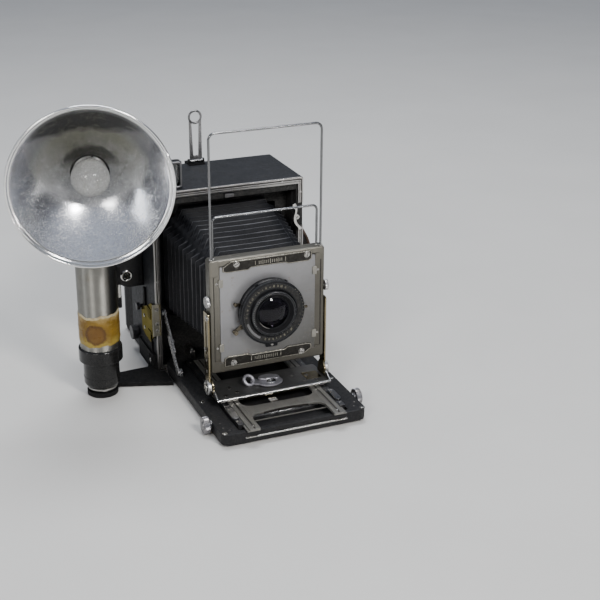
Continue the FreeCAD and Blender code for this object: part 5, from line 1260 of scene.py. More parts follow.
# rise lock knobs: milled edge, turned face
g = Geo()
for s in (-1, 1):
    rev(g, (s * 59.7, -108.6, 120.5), (s, 0, 0), [(0, 0), (2.0, 0), (2.0, 1.8)] + soft([(2.6, 1.8), (5.3, 1.8), (5.8, 2.3), (5.8, 5.1), (5.3, 5.6), (4.3, 5.7), (4.1, 5.45), (2.4, 5.4), (1.6, 5.65), (0, 5.7)], 0.12, 2)[1:], 120, 0,
        rmod=lambda t, i: 1 - 0.05 * (0.5 + 0.5 * math.cos(t * 30)) * (1 if 4 <= i <= 14 else 0))
make("rise_knob_pair", g, ["knob_metal"], "rise", "rise_knobs", sharp=30, weight=False)

# uprights: bent strips with a slot, pivot disc, lock screw
for_up = Geo()
g = for_up
for s in (-1, 1):
    x0, x1 = 62.2, 63.7
    TY, TZ = -108.0, 27.3
    out = [(-111, TZ), (-111, 106.5), (-110.4, 107.6), (-109.5, 108), (-99, 108), (-98.0, 107.6), (-97.5, 106.5), (-97.5, 40), (-101.5, TZ + 1.5)]
    slot_in = capsule((-104, 64), (-104, 96), 1.7, 8)
    # plate with a slot: two halves round the slot
    yl, yr = -111.0, -97.5
    def strip(pts, m=0):
        a, b = (s * x0, s * x1)
        slab(g, "x", pts, b, a, m, 0.18)
    strip([(-111, TZ), (-111, 63.0), (-97.5, 63.0), (-97.5, 40), (-101.5, TZ + 1.5)])
    strip([(-111, 63.0), (-111, 98.0), (-105.75, 98.0), (-105.75, 63.0)])
    strip([(-102.25, 63.0), (-102.25, 98.0), (-97.5, 98.0), (-97.5, 63.0)])
    strip([(-111, 98.0), (-111, 106.5), (-110.4, 107.6), (-109.5, 108), (-99, 108), (-98.0, 107.6), (-97.5, 106.5), (-97.5, 98.0)])
    # folded front flange and polished ridge
    a, b = sorted((s * 62.2, s * 64.0))
    slab(g, "x", [(-111.4, TZ + 5), (-111.4, 106.0), (-110.2, 107.4), (-109.8, 107.4), (-109.8, TZ + 5)], s * 64.0, s * 62.3, 0, 0.3)
    rev(g, (s * 62.25, TY, TZ), (s, 0, 0), soft([(2.06, 0), (7.6, 0), (8.0, 0.4), (8.0, 3.1), (7.4, 3.75), (6.3, 3.95), (5.9, 3.6), (3.4, 3.6), (3.1, 3.9), (2.06, 3.9)], 0.2, 2, True), 72, 1, close=True)
    rev(g, (s * 63.6, -108.6, 103.5), (s, 0, 0), [(0, 0), (3.0, 0), (3.0, 0.5), (2.7, 0.75), (0, 0.75)], 30, 1)
    screw(g, (s * 64.2, -108.6, 103.5), (s, 0, 0), 2.1, 0.7, 0.8, 1, 2)
    for z in (44.0, 56.0):
        screw(g, (s * 63.65, -104.5, z), (s, 0, 0), 1.7, 0.6, z, 1, 2)
make("upright_pair", g, ["frame_side", "knob_metal", "slot_dark"], "uprights", "standard_uprights", sharp=38)


# bent wire finders
def wire(name, body, node, hx, y, zt, zb, bend, r):
    g = Geo()
    path = [(-hx, y, zb + (zt - bend - zb) * i / 24) for i in range(24)]
    path += [(-hx + bend - bend * math.cos(rad(a)), y, zt - bend + bend * math.sin(rad(a))) for a in range(0, 90, 9)]
    path += [(-hx + bend + (2 * hx - 2 * bend) * i / 24, y, zt) for i in range(25)]
    path += [(hx - bend + bend * math.sin(rad(a)), y, zt - bend + bend * math.cos(rad(a))) for a in range(9, 91, 9)]
    path += [(hx, y, zt - bend - (zt - bend - zb) * i / 24) for i in range(1, 25)]
    rr = [r * (1 + 0.02 * math.sin(i * 0.9)) for i in range(len(path))]
    tube(g, path, rr, 16, 0)
    make(name, g, ["wire_steel"], body, node, sharp=60, weight=False)


wire("finder_frame_wire", "finder_wire", "wire_finder", 58, -107.5, 289.1, 150, 6.5, 1.2)
wire("finder_mask_wire", "mask_wire", "wire_mask", 55, -104.2, 205.1, 140, 5.0, 1.15)
# ------------------------------------------------------------------ body box, trim and fittings
g = Geo()
RR = lambda hw, z0, z1, r, y: at("y", rrect(-hw, hw, z0, z1, r, 5), y)
rings = [RR(77.0, 7.0, 195.0, 1.0, 92.0), RR(83.8, 0.7, 201.3, 2.2, 92.0), RR(84.5, 0, 202, 2.5, 91.3), RR(84.5, 0, 202, 2.5, 60), RR(84.5, 0, 202, 2.5, 30), RR(84.5, 0, 202, 2.5, 0.5), RR(84.1, 0.4, 201.6, 2.3, 0.0),
         RR(77.4, 6.6, 195.4, 1.2, 0.0), RR(77.0, 7.0, 195.0, 1.0, 0.4), RR(77.0, 7.0, 195.0, 1.0, 24.0), RR(62.0, 54.0, 170.0, 2.0, 24.0), RR(62.0, 54.0, 170.0, 2.0, 27.0), RR(77.0, 7.0, 195.0, 1.0, 27.0)]
g.grid(rings, True, lambda i: 0 if i < 6 else 1, loop=True)
# lip above the front opening with the slot of the catch
for x0, x1 in ((-77.0, -5.4), (5.4, 77.0)):
    box(g, x0, x1, 0.05, 4.0, 188.0, 195.2, 1)
box(g, -5.4, 5.4, 0.05, 4.0, 193.4, 195.2, 1)
box(g, -5.4, 5.4, 0.05, 4.0, 188.0, 188.6, 1)
box(g, 73.0, 77.2, 0.05, 4.0, 153.5, 162.5, 1)
for s in (-1, 1):
    cyl(g, (s * 77.0, 6, 66), (s * 74.2, 6, 66), 3.2, mat=2)
    cyl(g, (s * 74.4, 6, 66), (s * 71.4, 6, 66), 1.5, mat=2)
    screw(g, (s * 71.6, 6, 66), (-s, 0, 0), 2.3, 0.7, 0.6, 2, 3)
    # short rear rails inside the box, level with the bed's track
    slab(g, "x", [(3.0, 7.2), (3.0, 15.6), (4.0, 17.0), (21.5, 17.0), (23.5, 15.0), (23.5, 7.2)], s * 40.5, s * 46.5, 4, 0.3)
    slab(g, "x", [(3.2, 17.0), (3.2, 17.5), (21.0, 17.5), (21.0, 17.0)], s * 42.6, s * 44.4, 5, 0.1)
    cyl(g, (s * 43.5, 6.5, 16.9), (s * 43.5, 6.5, 18.6), 1.9, 1.3, 20, 2, 0.5)
# light shields down the sides of the opening
for s in (-1, 1):
    slab(g, "z", [(s * 76.9, 8), (s * 76.9, 23.8), (s * 75.4, 23.8), (s * 75.4, 9.2)], 74.0, 187.0, 1, 0.2)
# socket mouth under the box
rev(g, (0, 40, 0), (0, 0, 1), soft([(3.2, 0.15), (9.0, 0.15), (9.0, 1.4), (3.2, 1.4)], 0.3, 2, True), 48, 2, close=True)
make("body_shell", g, ["body_leather", "black_inner", "steel", "slot_dark", "track_grey", "bar_bright"], "body", "body_box", sharp=45)

# trim: three bright lines with dark grooves between, open where the lever sits
st = [((84.5, 173.0), (78.5, 173.0))]
st += [((84.5, z), (78.5, z if z < 194 else 194.5)) for z in (180.0, 187.0, 194.0)]
for cx, cz_, a0, inn in ((82, 199.5, 0, (78.5, 194.5)), (-82, 199.5, 90, (-78.5, 194.5)), (-82, 3.3, 180, (-78.5, 8.0)), (82, 3.3, 270, (78.5, 8.0))):
    arcp = arc(cx, cz_, 2.5, a0, a0 + 90, 5)
    st += [(p, inn) for p in arcp]
    if a0 == 90:
        st += [((-84.5, z), (-78.5, z)) for z in (170, 130, 90, 50, 20)]
    elif a0 == 0:
        st += [((x, 202.0), (x, 194.5)) for x in (60, 30, 6.6, -6.6, -30, -60)]
    elif a0 == 180:
        st += [((x, 0.8), (x, 8.0)) for x in (-40, 0, 40)]
    else:
        st += [((84.5, z), (78.5, z)) for z in (30, 70, 110)]
st += [((84.5, 147.0), (78.5, 147.0))]
prof = [(0.0, -0.02), (0.0, -1.45), (0.035, -1.75), (0.07, -1.8), (0.25, -1.8), (0.28, -1.65), (0.285, -0.9), (0.44, -0.9), (0.445, -1.65), (0.47, -1.8), (0.60, -1.8), (0.63, -1.65), (0.635, -1.1), (0.70, -1.1), (0.705, -1.65), (0.73, -1.8), (0.93, -1.8), (0.985, -1.6), (1.0, -1.2), (1.0, -0.02)]
tr = [[(o[0] + (i[0] - o[0]) * t, y, o[1] + (i[1] - o[1]) * t) for o, i in st] for t, y in prof]
g = Geo()
g.grid(tr, False, lambda i: 1 if i in (5, 6, 7, 11, 12, 13) else 0, loop=True)
n0 = len(st)
for k in (0, n0 - 1):
    ps = [tr[j][k] for j in range(len(prof))]
    g.add(ps, [tuple(range(len(ps)))], 0)
for x0, x1 in ((-75.0, -45.0), (-15.0, 15.0), (45.0, 75.0)):
    rev(g, (x0, -5.2, 4.2), (1, 0, 0), [(1.56, 0), (2.6, 0), (2.8, 0.2), (2.8, x1 - x0 - 0.2), (2.6, x1 - x0), (1.56, x1 - x0)], 24, 0, close=True)
    slab(g, "x", [(-5.2, 1.5), (-5.2, 3.9), (-1.7, 3.9), (-1.7, 1.5)], x0 + 0.1, x1 - 0.1, 0, 0.2)
# small screws of the trim
for x, z in ((-60, 198.3), (60, 198.3), (-81.5, 160.0), (-81.5, 105.0), (-81.5, 20.0), (81.5, 60.0), (81.5, 120.0), (81.5, 185.0)):
    rev(g, (x, -1.72, z), NY, [(0, 0), (1.25, 0), (1.1, 0.25), (0.3, 0.3), (0, 0.3)], 16, 0)
make("trim_frame", g, ["trim_silver", "slot_dark"], "body", "front_trim", sharp=34, weight=False)

# chromed bracket folded round the left front corner
g = Geo()
slab(g, "y", soft([(-88.2, 43.7), (-79.6, 43.7), (-79.6, 80.3), (-88.2, 80.3)], 1.0, 3, True), -3.0, -1.82, 0, 0.35)
slab(g, "y", soft([(-81.0, 44.2), (-79.9, 44.2), (-79.9, 79.8), (-81.0, 79.8)], 0.3, 2, True), -3.25, -2.9, 2, 0.1)
tube(g, [(-88.0, -2.2, 43.7 + 36.6 * i / 8) for i in range(9)], 0.85, 14, 0)
slab(g, "x", soft([(-2.6, 43.5), (8, 35), (27, 32.5), (41, 36), (42, 62), (20, 71), (6, 79.5), (-2.6, 80.5)], 1.6, 4, True), -88.0, -86.8, 1, 0.3)
slab(g, "x", soft([(0.5, 46.8), (9, 39), (26, 36.2), (38, 39), (38.8, 60), (18.5, 68), (5, 75.6), (0.5, 76.2)], 1.4, 3, True), -88.35, -87.8, 1, 0.25)
box(g, -87.3, -84.4, 6.4, 31.6, 44.4, 61.6, 4)
for i in range(5):
    y = 5.6 + i * 2.9
    slab(g, "x", [(y, 60.4), (y + 2.0, 60.4), (y + 2.0, 72.6), (y, 72.6)], -89.0, -88.2, 2, 0.3)
slab(g, "x", soft([(6.0, 33.8), (17, 33.8), (17, 46), (6.0, 46)], 0.8, 2, True), -89.0, -88.2, 2, 0.35)
for z in (74.5, 58.5, 50.5):
    screw(g, (-84.2, -2.95, z), NY, 1.9, 0.95, 0.4 + z, 3, 5)
for z in (56, 42):
    screw(g, (-88.2, 30, z), (-1, 0, 0), 2.0, 0.7, 0.8, 3, 5)
make("corner_plate", g, ["leaf_chrome", "chrome_gold", "chrome_gold", "screw_metal", "black_inner", "slot_dark"], "body", "corner_bracket", sharp=40)

# optical finder: square hood with a bright rim, tapering to a round tube
g = Geo()
FX, FZ = -62.5, 216.5


def sq(h, y, r=1.0, n=12):
    # rounded square with 48 points that can blend to a circle
    out = []
    for i in range(4 * n):
        a = TAU * i / (4 * n) + math.pi / 4
        c, s = math.cos(a), math.sin(a)
        m_ = max(abs(c), abs(s))
        q = h / m_
        lim = h * math.sqrt(2) - (math.sqrt(2) - 1) * r
        q = min(q, lim)
        out.append((FX + q * c, y, FZ + q * s))
    return out


def ci(r, y, n=12):
    return [(FX + r * math.cos(TAU * i / (4 * n) + math.pi / 4), y, FZ + r * math.sin(TAU * i / (4 * n) + math.pi / 4)) for i in range(4 * n)]


def mixr(a, b, t):
    return [tuple(p[k] + (q[k] - p[k]) * t for k in range(3)) for p, q in zip(a, b)]


rings = [sq(11.5, 16), sq(11.5, 7.2), sq(11.9, 6.4), sq(12.6, 6.0), sq(13.7, 6.0), sq(14.3, 6.3), sq(14.5, 7.0), sq(14.5, 9.0), sq(14.2, 9.4), sq(14.2, 16.6), sq(13.8, 17.6), sq(12.8, 18.0)]
for i in range(1, 9):
    t = i / 8
    rings.append(mixr(sq(12.6 - 2.6 * t, 18 + 18 * t), ci(10.0 + 2.2 * (1 - t), 18 + 18 * t), t ** 0.8))
rings += [ci(10.0, 37), ci(10.35, 37.3), ci(10.35, 39.0), ci(10.0, 39.3), ci(10.0, 60), ci(10.0, 70.6), ci(11.0, 71.2), ci(11.2, 71.8), ci(11.2, 77.4), ci(10.7, 78.0), ci(8.6, 78.0), ci(8.0, 77.2), ci(8.0, 60), ci(8.0, 30), ci(8.0, 18), ci(8.0, 16.2)]
g.grid(rings, True, lambda i: 2 if i == 0 else 1 if 1 <= i <= 7 else 2 if i >= len(rings) - 5 else 0, loop=True)
slab(g, "z", soft([(FX - 10, 18), (FX + 10, 18), (FX + 10, 76), (FX - 10, 76)], 2.0, 3, True), 202.0, 203.6, 0, 0.3)
slab(g, "x", [(20, 203.4), (24, 207.5), (24, 211), (70, 208.5), (74, 203.4)], FX - 2.5, FX + 2.5, 0, 0.4)
for y in (22.5, 71.5):
    for s in (-1, 1):
        screw(g, (FX + s * 6.5, y, 203.5), (0, 0, 1), 1.7, 0.7, 0.5 + y, 3, 4)
make("viewfinder_tube", g, ["black_satin", "finder_rim", "black_inner", "screw_metal", "slot_dark"], "body", "viewfinder_housing", sharp=36)

# rangefinder: tall housing with bright window rings, side cover and a rim line
g = Geo()
RX0, RX1, RY0, RY1, RZ0, RZ1 = -113.5, -84.5, 40.0, 70.0, 86.0, 168.0
WX, WZ0, WZ1 = -103.5, 100.8, 155.0
out = [(RX1 + 0.1, RZ0)] + [(RX0 + 14 + 14 * math.cos(rad(a)), RZ0 + 14 + 14 * math.sin(rad(a))) for a in range(270, 179, -9)] + [(RX0, RZ1), (RX1 + 0.1, RZ1)]
out = out[:-2] + [(RX0, RZ1 - 3), (RX0 + 0.9, RZ1 - 0.9), (RX0 + 3, RZ1), (RX1 + 0.1, RZ1)]
slab(g, "y", out, RY0 + 1.2, RY1, 0, 1.0)
slab(g, "y", inset(out, 1.0), RY0, RY0 + 2.0, 0, 0.5)
slab(g, "y", inset(out, 0.25), RY0 + 3.6, RY0 + 4.4, 5, 0.1)
for z in (WZ0, WZ1):
    rev(g, (WX, RY0, z), NY, soft([(4.05, -0.2), (6.8, -0.2), (6.8, 0.9), (6.3, 1.9), (5.4, 2.5), (4.6, 2.3), (4.05, 1.2)], 0.25, 2, True), 64, 1, close=True)
    rev(g, (WX, RY0, z), NY, [(0, 0.05), (4.1, 0.05), (4.1, 0.3), (0, 0.3)], 32, 2)
slab(g, "x", rrect(RY0 + 4, RY1 - 4, RZ0 + 22, RZ1 - 6, 2.5, 4), RX0 - 0.55, RX0 + 0.3, 0, 0.3)
for y in (RY0 + 7.5, RY1 - 7.5):
    for z in (RZ0 + 26, RZ1 - 10):
        screw(g, (RX0 - 0.45, y, z), (-1, 0, 0), 1.6, 0.6, y, 3, 4)
for x, z in ((-89.0, 90.5), (-89.0, 163.5), (-109.0, 163.5)):
    screw(g, (x, RY0 + 0.1, z), NY, 1.3, 0.45, x, 0, 4)
make("rangefinder_box", g, ["black_satin", "chrome", "black_inner", "screw_metal", "slot_dark", "edge_worn"], "body", "rangefinder_housing", sharp=36)

# hand strap: thick folded leather with raised edges and stitching
g = Geo()
top_z, bot_z = 160.0, 48.0
mz, hz = 104.0, 56.0
N = 96
path = []
for i in range(N + 1):
    u = -1 + 2 * i / N
    z = mz + hz * u
    x = 86.0 + 21.5 * math.cos(math.pi * u / 2) ** 2
    dx = -21.5 * math.pi * math.sin(math.pi * u) / 2 / hz
    L = math.hypot(dx, 1)
    path.append((x, z, 1 / L, -dx / L))
full = [(86.0, 33.0 + 15 * i / 6, 1.0, 0.0) for i in range(6)] + path + [(86.0, 160.0 + 15.5 * i / 6, 1.0, 0.0) for i in range(1, 7)]
sec = [(-11.0, 0.0), (-10.8, 0.9), (-10.2, 1.42), (-9.2, 1.5), (-8.2, 1.28), (-7.6, 1.12), (-6.0, 1.38), (-3, 1.46), (0, 1.5), (3, 1.46), (6.0, 1.38), (7.6, 1.12), (8.2, 1.28), (9.2, 1.5), (10.2, 1.42), (10.8, 0.9), (11.0, 0.0), (10.8, -0.9), (10.0, -1.45), (5, -1.5), (0, -1.5), (-5, -1.5), (-10.0, -1.45), (-10.8, -0.9)]
rings = []
for i, (x, z, nx, nz_) in enumerate(full):
    w = 0.22 * math.sin(i * 0.37) + 0.15 * math.sin(i * 0.9 + 1)
    b = 1.0
    if i < 6 or i > N + 6:
        b = 0.94
    rings.append([(x + nx * h * b, 43.0 + yy * b + w * 0.4, z + nz_ * h * b) for yy, h in sec])
g.grid(rings, True, 0, cap0=True, cap1=True)
for s in (-1, 1):
    i = 8
    acc = 0.0
    while i < N + 4:
        x, z, nx, nz_ = full[i]
        x2, z2, nx2, nz2 = full[i + 1]
        a = Vector((x + nx * 1.22, 43.0 + s * 7.9, z + nz_ * 1.22))
        b = Vector((x2 + nx2 * 1.22, 43.0 + s * 7.9, z2 + nz2 * 1.22))
        d = (b - a).normalized()
        m0 = (a + b) / 2
        tube(g, [m0 - d * 0.95, m0 - d * 0.6 + Vector((nx, 0, nz_)) * 0.16, m0 + Vector((nx, 0, nz_)) * 0.22, m0 + d * 0.6 + Vector((nx, 0, nz_)) * 0.16, m0 + d * 0.95], [0.18, 0.3, 0.33, 0.3, 0.18], 6, 1)
        i += 2
make("strap_leather", g, ["strap_brown", "thread"], "body", "hand_strap", sharp=60, weight=False)
g = Geo()
for z0 in (161.0, 35.0):
    slab(g, "x", rrect(30.0, 56.0, z0, z0 + 12, 3.0, 5), 89.1, 87.45, 0, 0.4)
    slab(g, "x", rrect(32.2, 53.8, z0 + 2.2, z0 + 9.8, 2.0, 4), 89.5, 88.9, 0, 0.3)
    for y in (34.8, 51.2):
        screw(g, (89.3, y, z0 + 6), (1, 0, 0), 2.2, 0.95, y * 0.7, 1, 2)
    slab(g, "x", rrect(33.0, 53.0, z0 + 1, z0 + 11, 1.0, 3), 87.6, 84.6, 3, 0.2)
make("strap_end_plates", g, ["chrome", "screw_metal", "slot_dark", "strap_edge"], "body", "strap_plates", sharp=38)

# rear peep sight
g = Geo()
PX, PYY, PH, PZ = -6.9, 85.0, 206.0, 254.8
rev(g, (PX, PYY, PZ), NY, [(6.8 + 1.15 * math.cos(rad(a)), 0.65 * math.sin(rad(a))) for a in range(0, 360, 24)], 72, 0, close=True)
rev(g, (PX, PYY, PZ), NY, soft([(5.65, -0.35), (6.1, -0.35), (6.1, 0.35), (5.65, 0.35)], 0.1, 1, True), 64, 1, close=True)
for s in (-1, 1):
    slab(g, "y", [(PX + s * 7.05, PZ - 3.6), (PX + s * 4.2, PZ - 6.2), (PX + s * 2.7, PH + 1), (PX + s * 7.1, PH + 1)], 84.4, 85.6, 0, 0.25)
slab(g, "y", [(PX - 7.1, PH + 6), (PX + 7.1, PH + 6), (PX + 7.1, PH + 0.5), (PX - 7.1, PH + 0.5)], 84.45, 85.55, 0, 0.25)
rev(g, (-14.4, PYY, PH), (1, 0, 0), [(0.98, 0), (1.8, 0), (2.0, 0.2), (2.0, 14.8), (1.8, 15.0), (0.98, 15.0)], 24, 0, close=True)
make("peep_ring", g, ["peep_steel", "black_inner"], "peep", "peep_sight", sharp=45)

# curved lever beside the right trim
g = Geo()
lp = [(72.5, 173), (73.9, 170.5), (75.2, 167.8), (75.5, 165.5), (75.2, 163), (74.5, 160.5), (74.0, 158), (73.9, 156), (74.1, 154), (75, 151.4), (76.6, 149), (78.6, 147.2), (79.6, 145.8), (80, 143.5)]
rings = []
for i, (x, z) in enumerate(lp):
    a = Vector(lp[max(0, i - 1)])
    b = Vector(lp[min(len(lp) - 1, i + 1)])
    t = (b - a).normalized()
    nx, nz_ = t.y, -t.x
    w = 1.8 + (0.5 if i in (0, 1) else 0) + (0.35 if i >= len(lp) - 2 else 0) - (0.4 if 2 < i < 6 else 0)
    sec = [(-w, -2.3), (-w, -3.7), (-w * 0.7, -4.15), (0, -4.25), (w * 0.7, -4.15), (w, -3.7), (w, -2.3), (0, -2.2)]
    rings.append([(x + nx * q, y, z + nz_ * q) for q, y in sec])
g.grid(rings, True, 0, cap0=True, cap1=True)
rev(g, (76.5, -2.2, 158), NY, soft([(0, 0), (3.0, 0), (3.0, 1.6), (2.6, 2.1), (0, 2.1)], 0.2, 2), 32, 0)
screw(g, (76.5, -4.15, 158), NY, 1.9, 0.55, 0.7, 1, 2)
cyl(g, (76.5, -4.2, 158), (76.5, 3.0, 158), 1.2, mat=1)
make("side_lever", g, ["lever_bright", "screw_metal", "slot_dark"], "body_lever", "body_release_lever", sharp=45)

# hood, glass frame and back keep their CAD shape; bright details are added on them
g = Geo()
for sx_ in (-1, 1):
    for z in (24.0, 178.0):
        screw(g, (sx_ * 74.0, 128.9, z), (0, 1, 0), 2.6, 0.9, z, 0, 1)
    for x in (34.0, 50.0):
        rev(g, (sx_ * x, 132.3, 153.4), (1, 0, 0), [(0, -1.2), (2.35, -1.2), (2.35, 1.2), (0, 1.2)], 20, 0)
make("glass_frame_screws", g, ["screw_metal", "slot_dark"], "back", sharp=38)
g = Geo()
slab(g, "y", rrect(-16, 16, 56.5, 62.0, 2.0, 4), 141.6, 140.9, 0, 0.25)
for x in (-12, 12):
    screw(g, (x, 141.4, 59.2), (0, 1, 0), 1.5, 0.45, 0.3, 0, 1)
for x0 in (-49, 49):
    rev(g, (x0, 140.95, 66), (0, 1, 0), [(0, 0), (3.2, 0), (3.0, 0.5), (1.0, 0.65), (0, 0.65)], 28, 0)
make("hood_catch", g, ["chrome", "slot_dark"], "hood", sharp=38)
# flash bracket: screws and the bright edge of the clamp
g = Geo()
slab(g, "y", soft([(-130.0, 103.6), (-127.2, 103.6), (-127.2, 117.6), (-130.0, 117.6)], 0.5, 2, True), -24.9, -23.9, 0, 0.25)
slab(g, "x", [(-23.6, 92.4), (-23.6, 105.0), (-15, 105.0), (-15, 92.4)], -126.1, -126.7, 0, 0.2)
cyl(g, (-88.4, 9, 12), (-89.9, 9, 12), 2.6, seg=20, mat=1)
make("bracket_fittings", g, ["bar_bright", "screw_metal", "slot_dark"], "body", sharp=38)
# ------------------------------------------------------------------ bed, track, tray
def round_rect(x0, x1, y0, y1, r, n=6):
    # r: radii of the corners (x1,y1), (x0,y1), (x0,y0), (x1,y0)
    out = []
    for (cx, cy, a), q in zip(((x1, y1, 0), (x0, y1, 90), (x0, y0, 180), (x1, y0, 270)), r):
        sx_ = -1 if cx == x1 else 1
        sy_ = -1 if cy == y1 else 1
        out += arc(cx + sx_ * q, cy + sy_ * q, q, a, a + 90, n)
    return out


g = Geo()
bo = lambda d, z: at("z", round_rect(-76.6 + d, 76.6 - d, -186 + d, -8.5 - d, (0.6, 0.6, 8 - d * 0.5, 8 - d * 0.5)), z)
po = lambda d, z: at("z", round_rect(-58.0 - d, 58.0 + d, -180.0 - d, -12.0 + d, (0.6, 0.6, 2.0, 2.0)), z)
rings = [bo(1.0, 1.5), bo(0.25, 1.8), bo(0, 2.5), bo(0, 12.4), bo(0.3, 13.15), bo(1.1, 13.5), po(0.7, 13.5), po(0.15, 13.3), po(0, 12.8), po(0, 8.0)]
g.grid(rings, True, 0, cap0=True, cap1=True)
for k, (x, y) in enumerate(((-73, -181.6), (73, -181.6), (-71.6, -109.7), (71.6, -109.7), (-68.5, -14.2), (68.5, -14.2))):
    screw(g, (x, y, 13.4), (0, 0, 1), 2.3, 0.8, 0.7 * k + 0.3, 1, 2)
    rev(g, (x, y, 13.42), (0, 0, 1), [(0, 0), (2.9, 0), (2.8, 0.18), (0, 0.18)], 24, 3)
for x, y in ((-70.5, -170), (-70.5, -160), (70.5, -168), (66.5, -176), (-66.5, -176.5)):
    rev(g, (x, y, 13.42), (0, 0, 1), [(0, 0), (1.1, 0), (1.0, 0.3), (0, 0.35)], 14, 3)
for x0, x1 in ((-44.6, -15.4), (15.4, 44.6)):
    rev(g, (x0, -5.2, 4.2), (1, 0, 0), [(1.6, 0), (2.6, 0), (2.8, 0.2), (2.8, x1 - x0 - 0.2), (2.6, x1 - x0), (1.6, x1 - x0)], 24, 4, close=True)
    slab(g, "x", [(-5.2, 1.5), (-5.2, 3.9), (-8.8, 3.9), (-8.8, 1.5)], x0 + 0.1, x1 - 0.1, 4, 0.2)
for s in (-1, 1):
    slab(g, "x", [(-47, 13.3), (-47, 15.0)] + [(-42 + 4.4 * math.cos(rad(a)), 16.5 + 4.4 * math.sin(rad(a))) for a in range(200, -21, -20)] + [(-37, 15.0), (-37, 13.3)], s * 70.4, s * 73.6, 4, 0.3)
    cyl(g, (s * 73.4, -42, 16.5), (s * 76.0, -42, 16.5), 1.5, mat=1)
    screw(g, (s * 75.6, -42, 16.5), (s, 0, 0), 2.3, 0.7, 0.4, 1, 2)
    # bearing of the focusing shaft
    rev(g, (s * 76.5, -150, 9.0), (s, 0, 0), [(2.1, 0), (4.6, 0), (4.6, 0.5), (4.2, 0.8), (2.1, 0.8)], 32, 4, close=True)
make("bed_panel", g, ["bed_wrinkle", "screw_metal", "slot_dark", "edge_worn", "steel"], "bed", "bed_board", sharp=40)

g = Geo()
for s in (-1, 1):
    slab(g, "z", round_rect(min(s * 53, s * 57), max(s * 53, s * 57), -176, -14, (0.5, 0.5, 0.5, 0.5), 2), 8.2, 16.9, 0, 0.3)
    slab(g, "z", round_rect(min(s * 50.5, s * 53.2), max(s * 50.5, s * 53.2), -176, -14, (0.4, 0.4, 0.4, 0.4), 2), 8.2, 14.3, 0, 0.2)
    slab(g, "z", round_rect(min(s * 50.9, s * 57), max(s * 50.9, s * 57), -176, -14, (0.4, 0.4, 0.4, 0.4), 2), 15.95, 16.95, 0, 0.2)
    for y in (-168, -128, -70, -24):
        screw(g, (s * 54.9, y, 16.85), (0, 0, 1), 1.3, 0.4, y, 2, 3)
bar = [(-186.0, 6.9), (-187.4, 6.9), (-188.0, 7.2), (-188.2, 7.8), (-188.0, 8.4), (-187.4, 8.7), (-186.0, 8.7)]
slab(g, "x", bar, -54, 54, 1, 0.6)
make("guide_rails", g, ["rail_dark", "bar_bright", "screw_metal", "slot_dark"], "bed", "bed_rails", sharp=38)

# focusing knobs
g = Geo()
for s in (-1, 1):
    rev(g, (s * 77.5, -150, 9.0), (s, 0, 0), [(2.05, 0), (4.8, 0), (5.0, 0.3), (5.0, 1.2)] + soft([(7.9, 1.25), (8.5, 1.5), (8.8, 2.2), (8.8, 6.6), (8.3, 7.3), (7.2, 7.55), (6.9, 7.3), (4.4, 7.2), (4.0, 8.0), (2.6, 8.45), (0.6, 8.5)], 0.15, 2) + [(0.5, 8.5), (0.5, 8.0)], 176, 0,
        rmod=lambda t, i: 1 - 0.045 * (0.5 + 0.5 * math.cos(t * 44)) * (1 if 7 <= i <= 14 else 0), close=True)
make("focus_knob_pair", g, ["knob_lavender"], "focus_shaft", "focusing_knobs", sharp=28, weight=False)

# focusing track: H plate with grooved legs, bright ridges, racks below
g = Geo()
LI, LO = 39.0, 50.4
r = 10.0
H = []
H += [(LO, -20), (-LO, -20)] if False else []
Hp = [(LI, -20.0), (LO, -20.0), (LO, -190.0)]
# right leg outside, front inside, cross-piece front edge, left leg, back edge
outl = [(LI, -20.0), (LO, -20.0), (LO, -189.2), (LO - 0.8, -190.0), (LI + 0.8, -190.0), (LI, -189.2), (LI, -169.0)]
outl += [(LI - r + r * math.cos(rad(a)), -169.0 + r * math.sin(rad(a))) for a in range(0, 91, 10)][1:]
a_in = math.degrees(math.acos(20.4 / 25.0))
front = []
for i in range(13):
    x = 14.6 - 29.2 * i / 12
    front.append((x, -179.0 + math.sqrt(25.0 ** 2 - x * x)))
outl += [(28.0, -159.0)] + [(24.0 - 4.0 * i, -159.0 + 2.2 * (1 - ((24.0 - 4.0 * i) / 24.0) ** 2)) for i in range(13)] + [(-28.0, -159.0)]
outl += [(-(LI - r) - r * math.cos(rad(a)), -169.0 + r * math.sin(rad(a))) for a in range(90, -1, -10)]
outl += [(-LI, -189.2), (-LI - 0.8, -190.0), (-LO + 0.8, -190.0), (-LO, -189.2), (-LO, -20.0), (-LI, -20.0), (-LI, -133.0)]
outl += [(-(LI - r) - r * math.cos(rad(a)), -133.0 - r * math.sin(rad(a))) for a in range(0, 91, 10)][1:]
outl += [(LI - r + r * math.cos(rad(a)), -133.0 - r * math.sin(rad(a))) for a in range(90, -1, -10)]
slab(g, "z", outl, 14.6, 17.0, 0, 0.3)
for s in (-1, 1):
    a, b = sorted((s * 50.2, s * 52.4))
    box(g, a, b, -189.8, -20.2, 14.65, 15.6, 0)
    # groove down the leg between two fine ridges
    for x0, x1, z1, mt in ((43.7, 45.7, 17.08, 1), (42.9, 43.6, 17.34, 2), (45.8, 46.5, 17.34, 2), (39.4, 40.0, 17.22, 2), (49.4, 50.0, 17.22, 2)):
        a, b = sorted((s * x0, s * x1))
        slab(g, "z", round_rect(a, b, -188.6, -21.0, (0.2, 0.2, 0.3, 0.3), 2), 16.8, z1, mt, 0.08)
    rings = []
    teeth = []
    p = math.pi * 0.75
    for k in range(-6, 19):
        yc = -150 + k * p
        a, b = sorted((s * 42, s * 48))
        prism(g, "x", [(yc - 0.85, 14.7), (yc + 0.85, 14.7), (yc + 0.36, 13.65), (yc - 0.36, 13.65)], a, b, 0)
    screw(g, (s * 44.7, -183.0, 17.05), (0, 0, 1), 1.5, 0.5, 0.5, 3, 1)
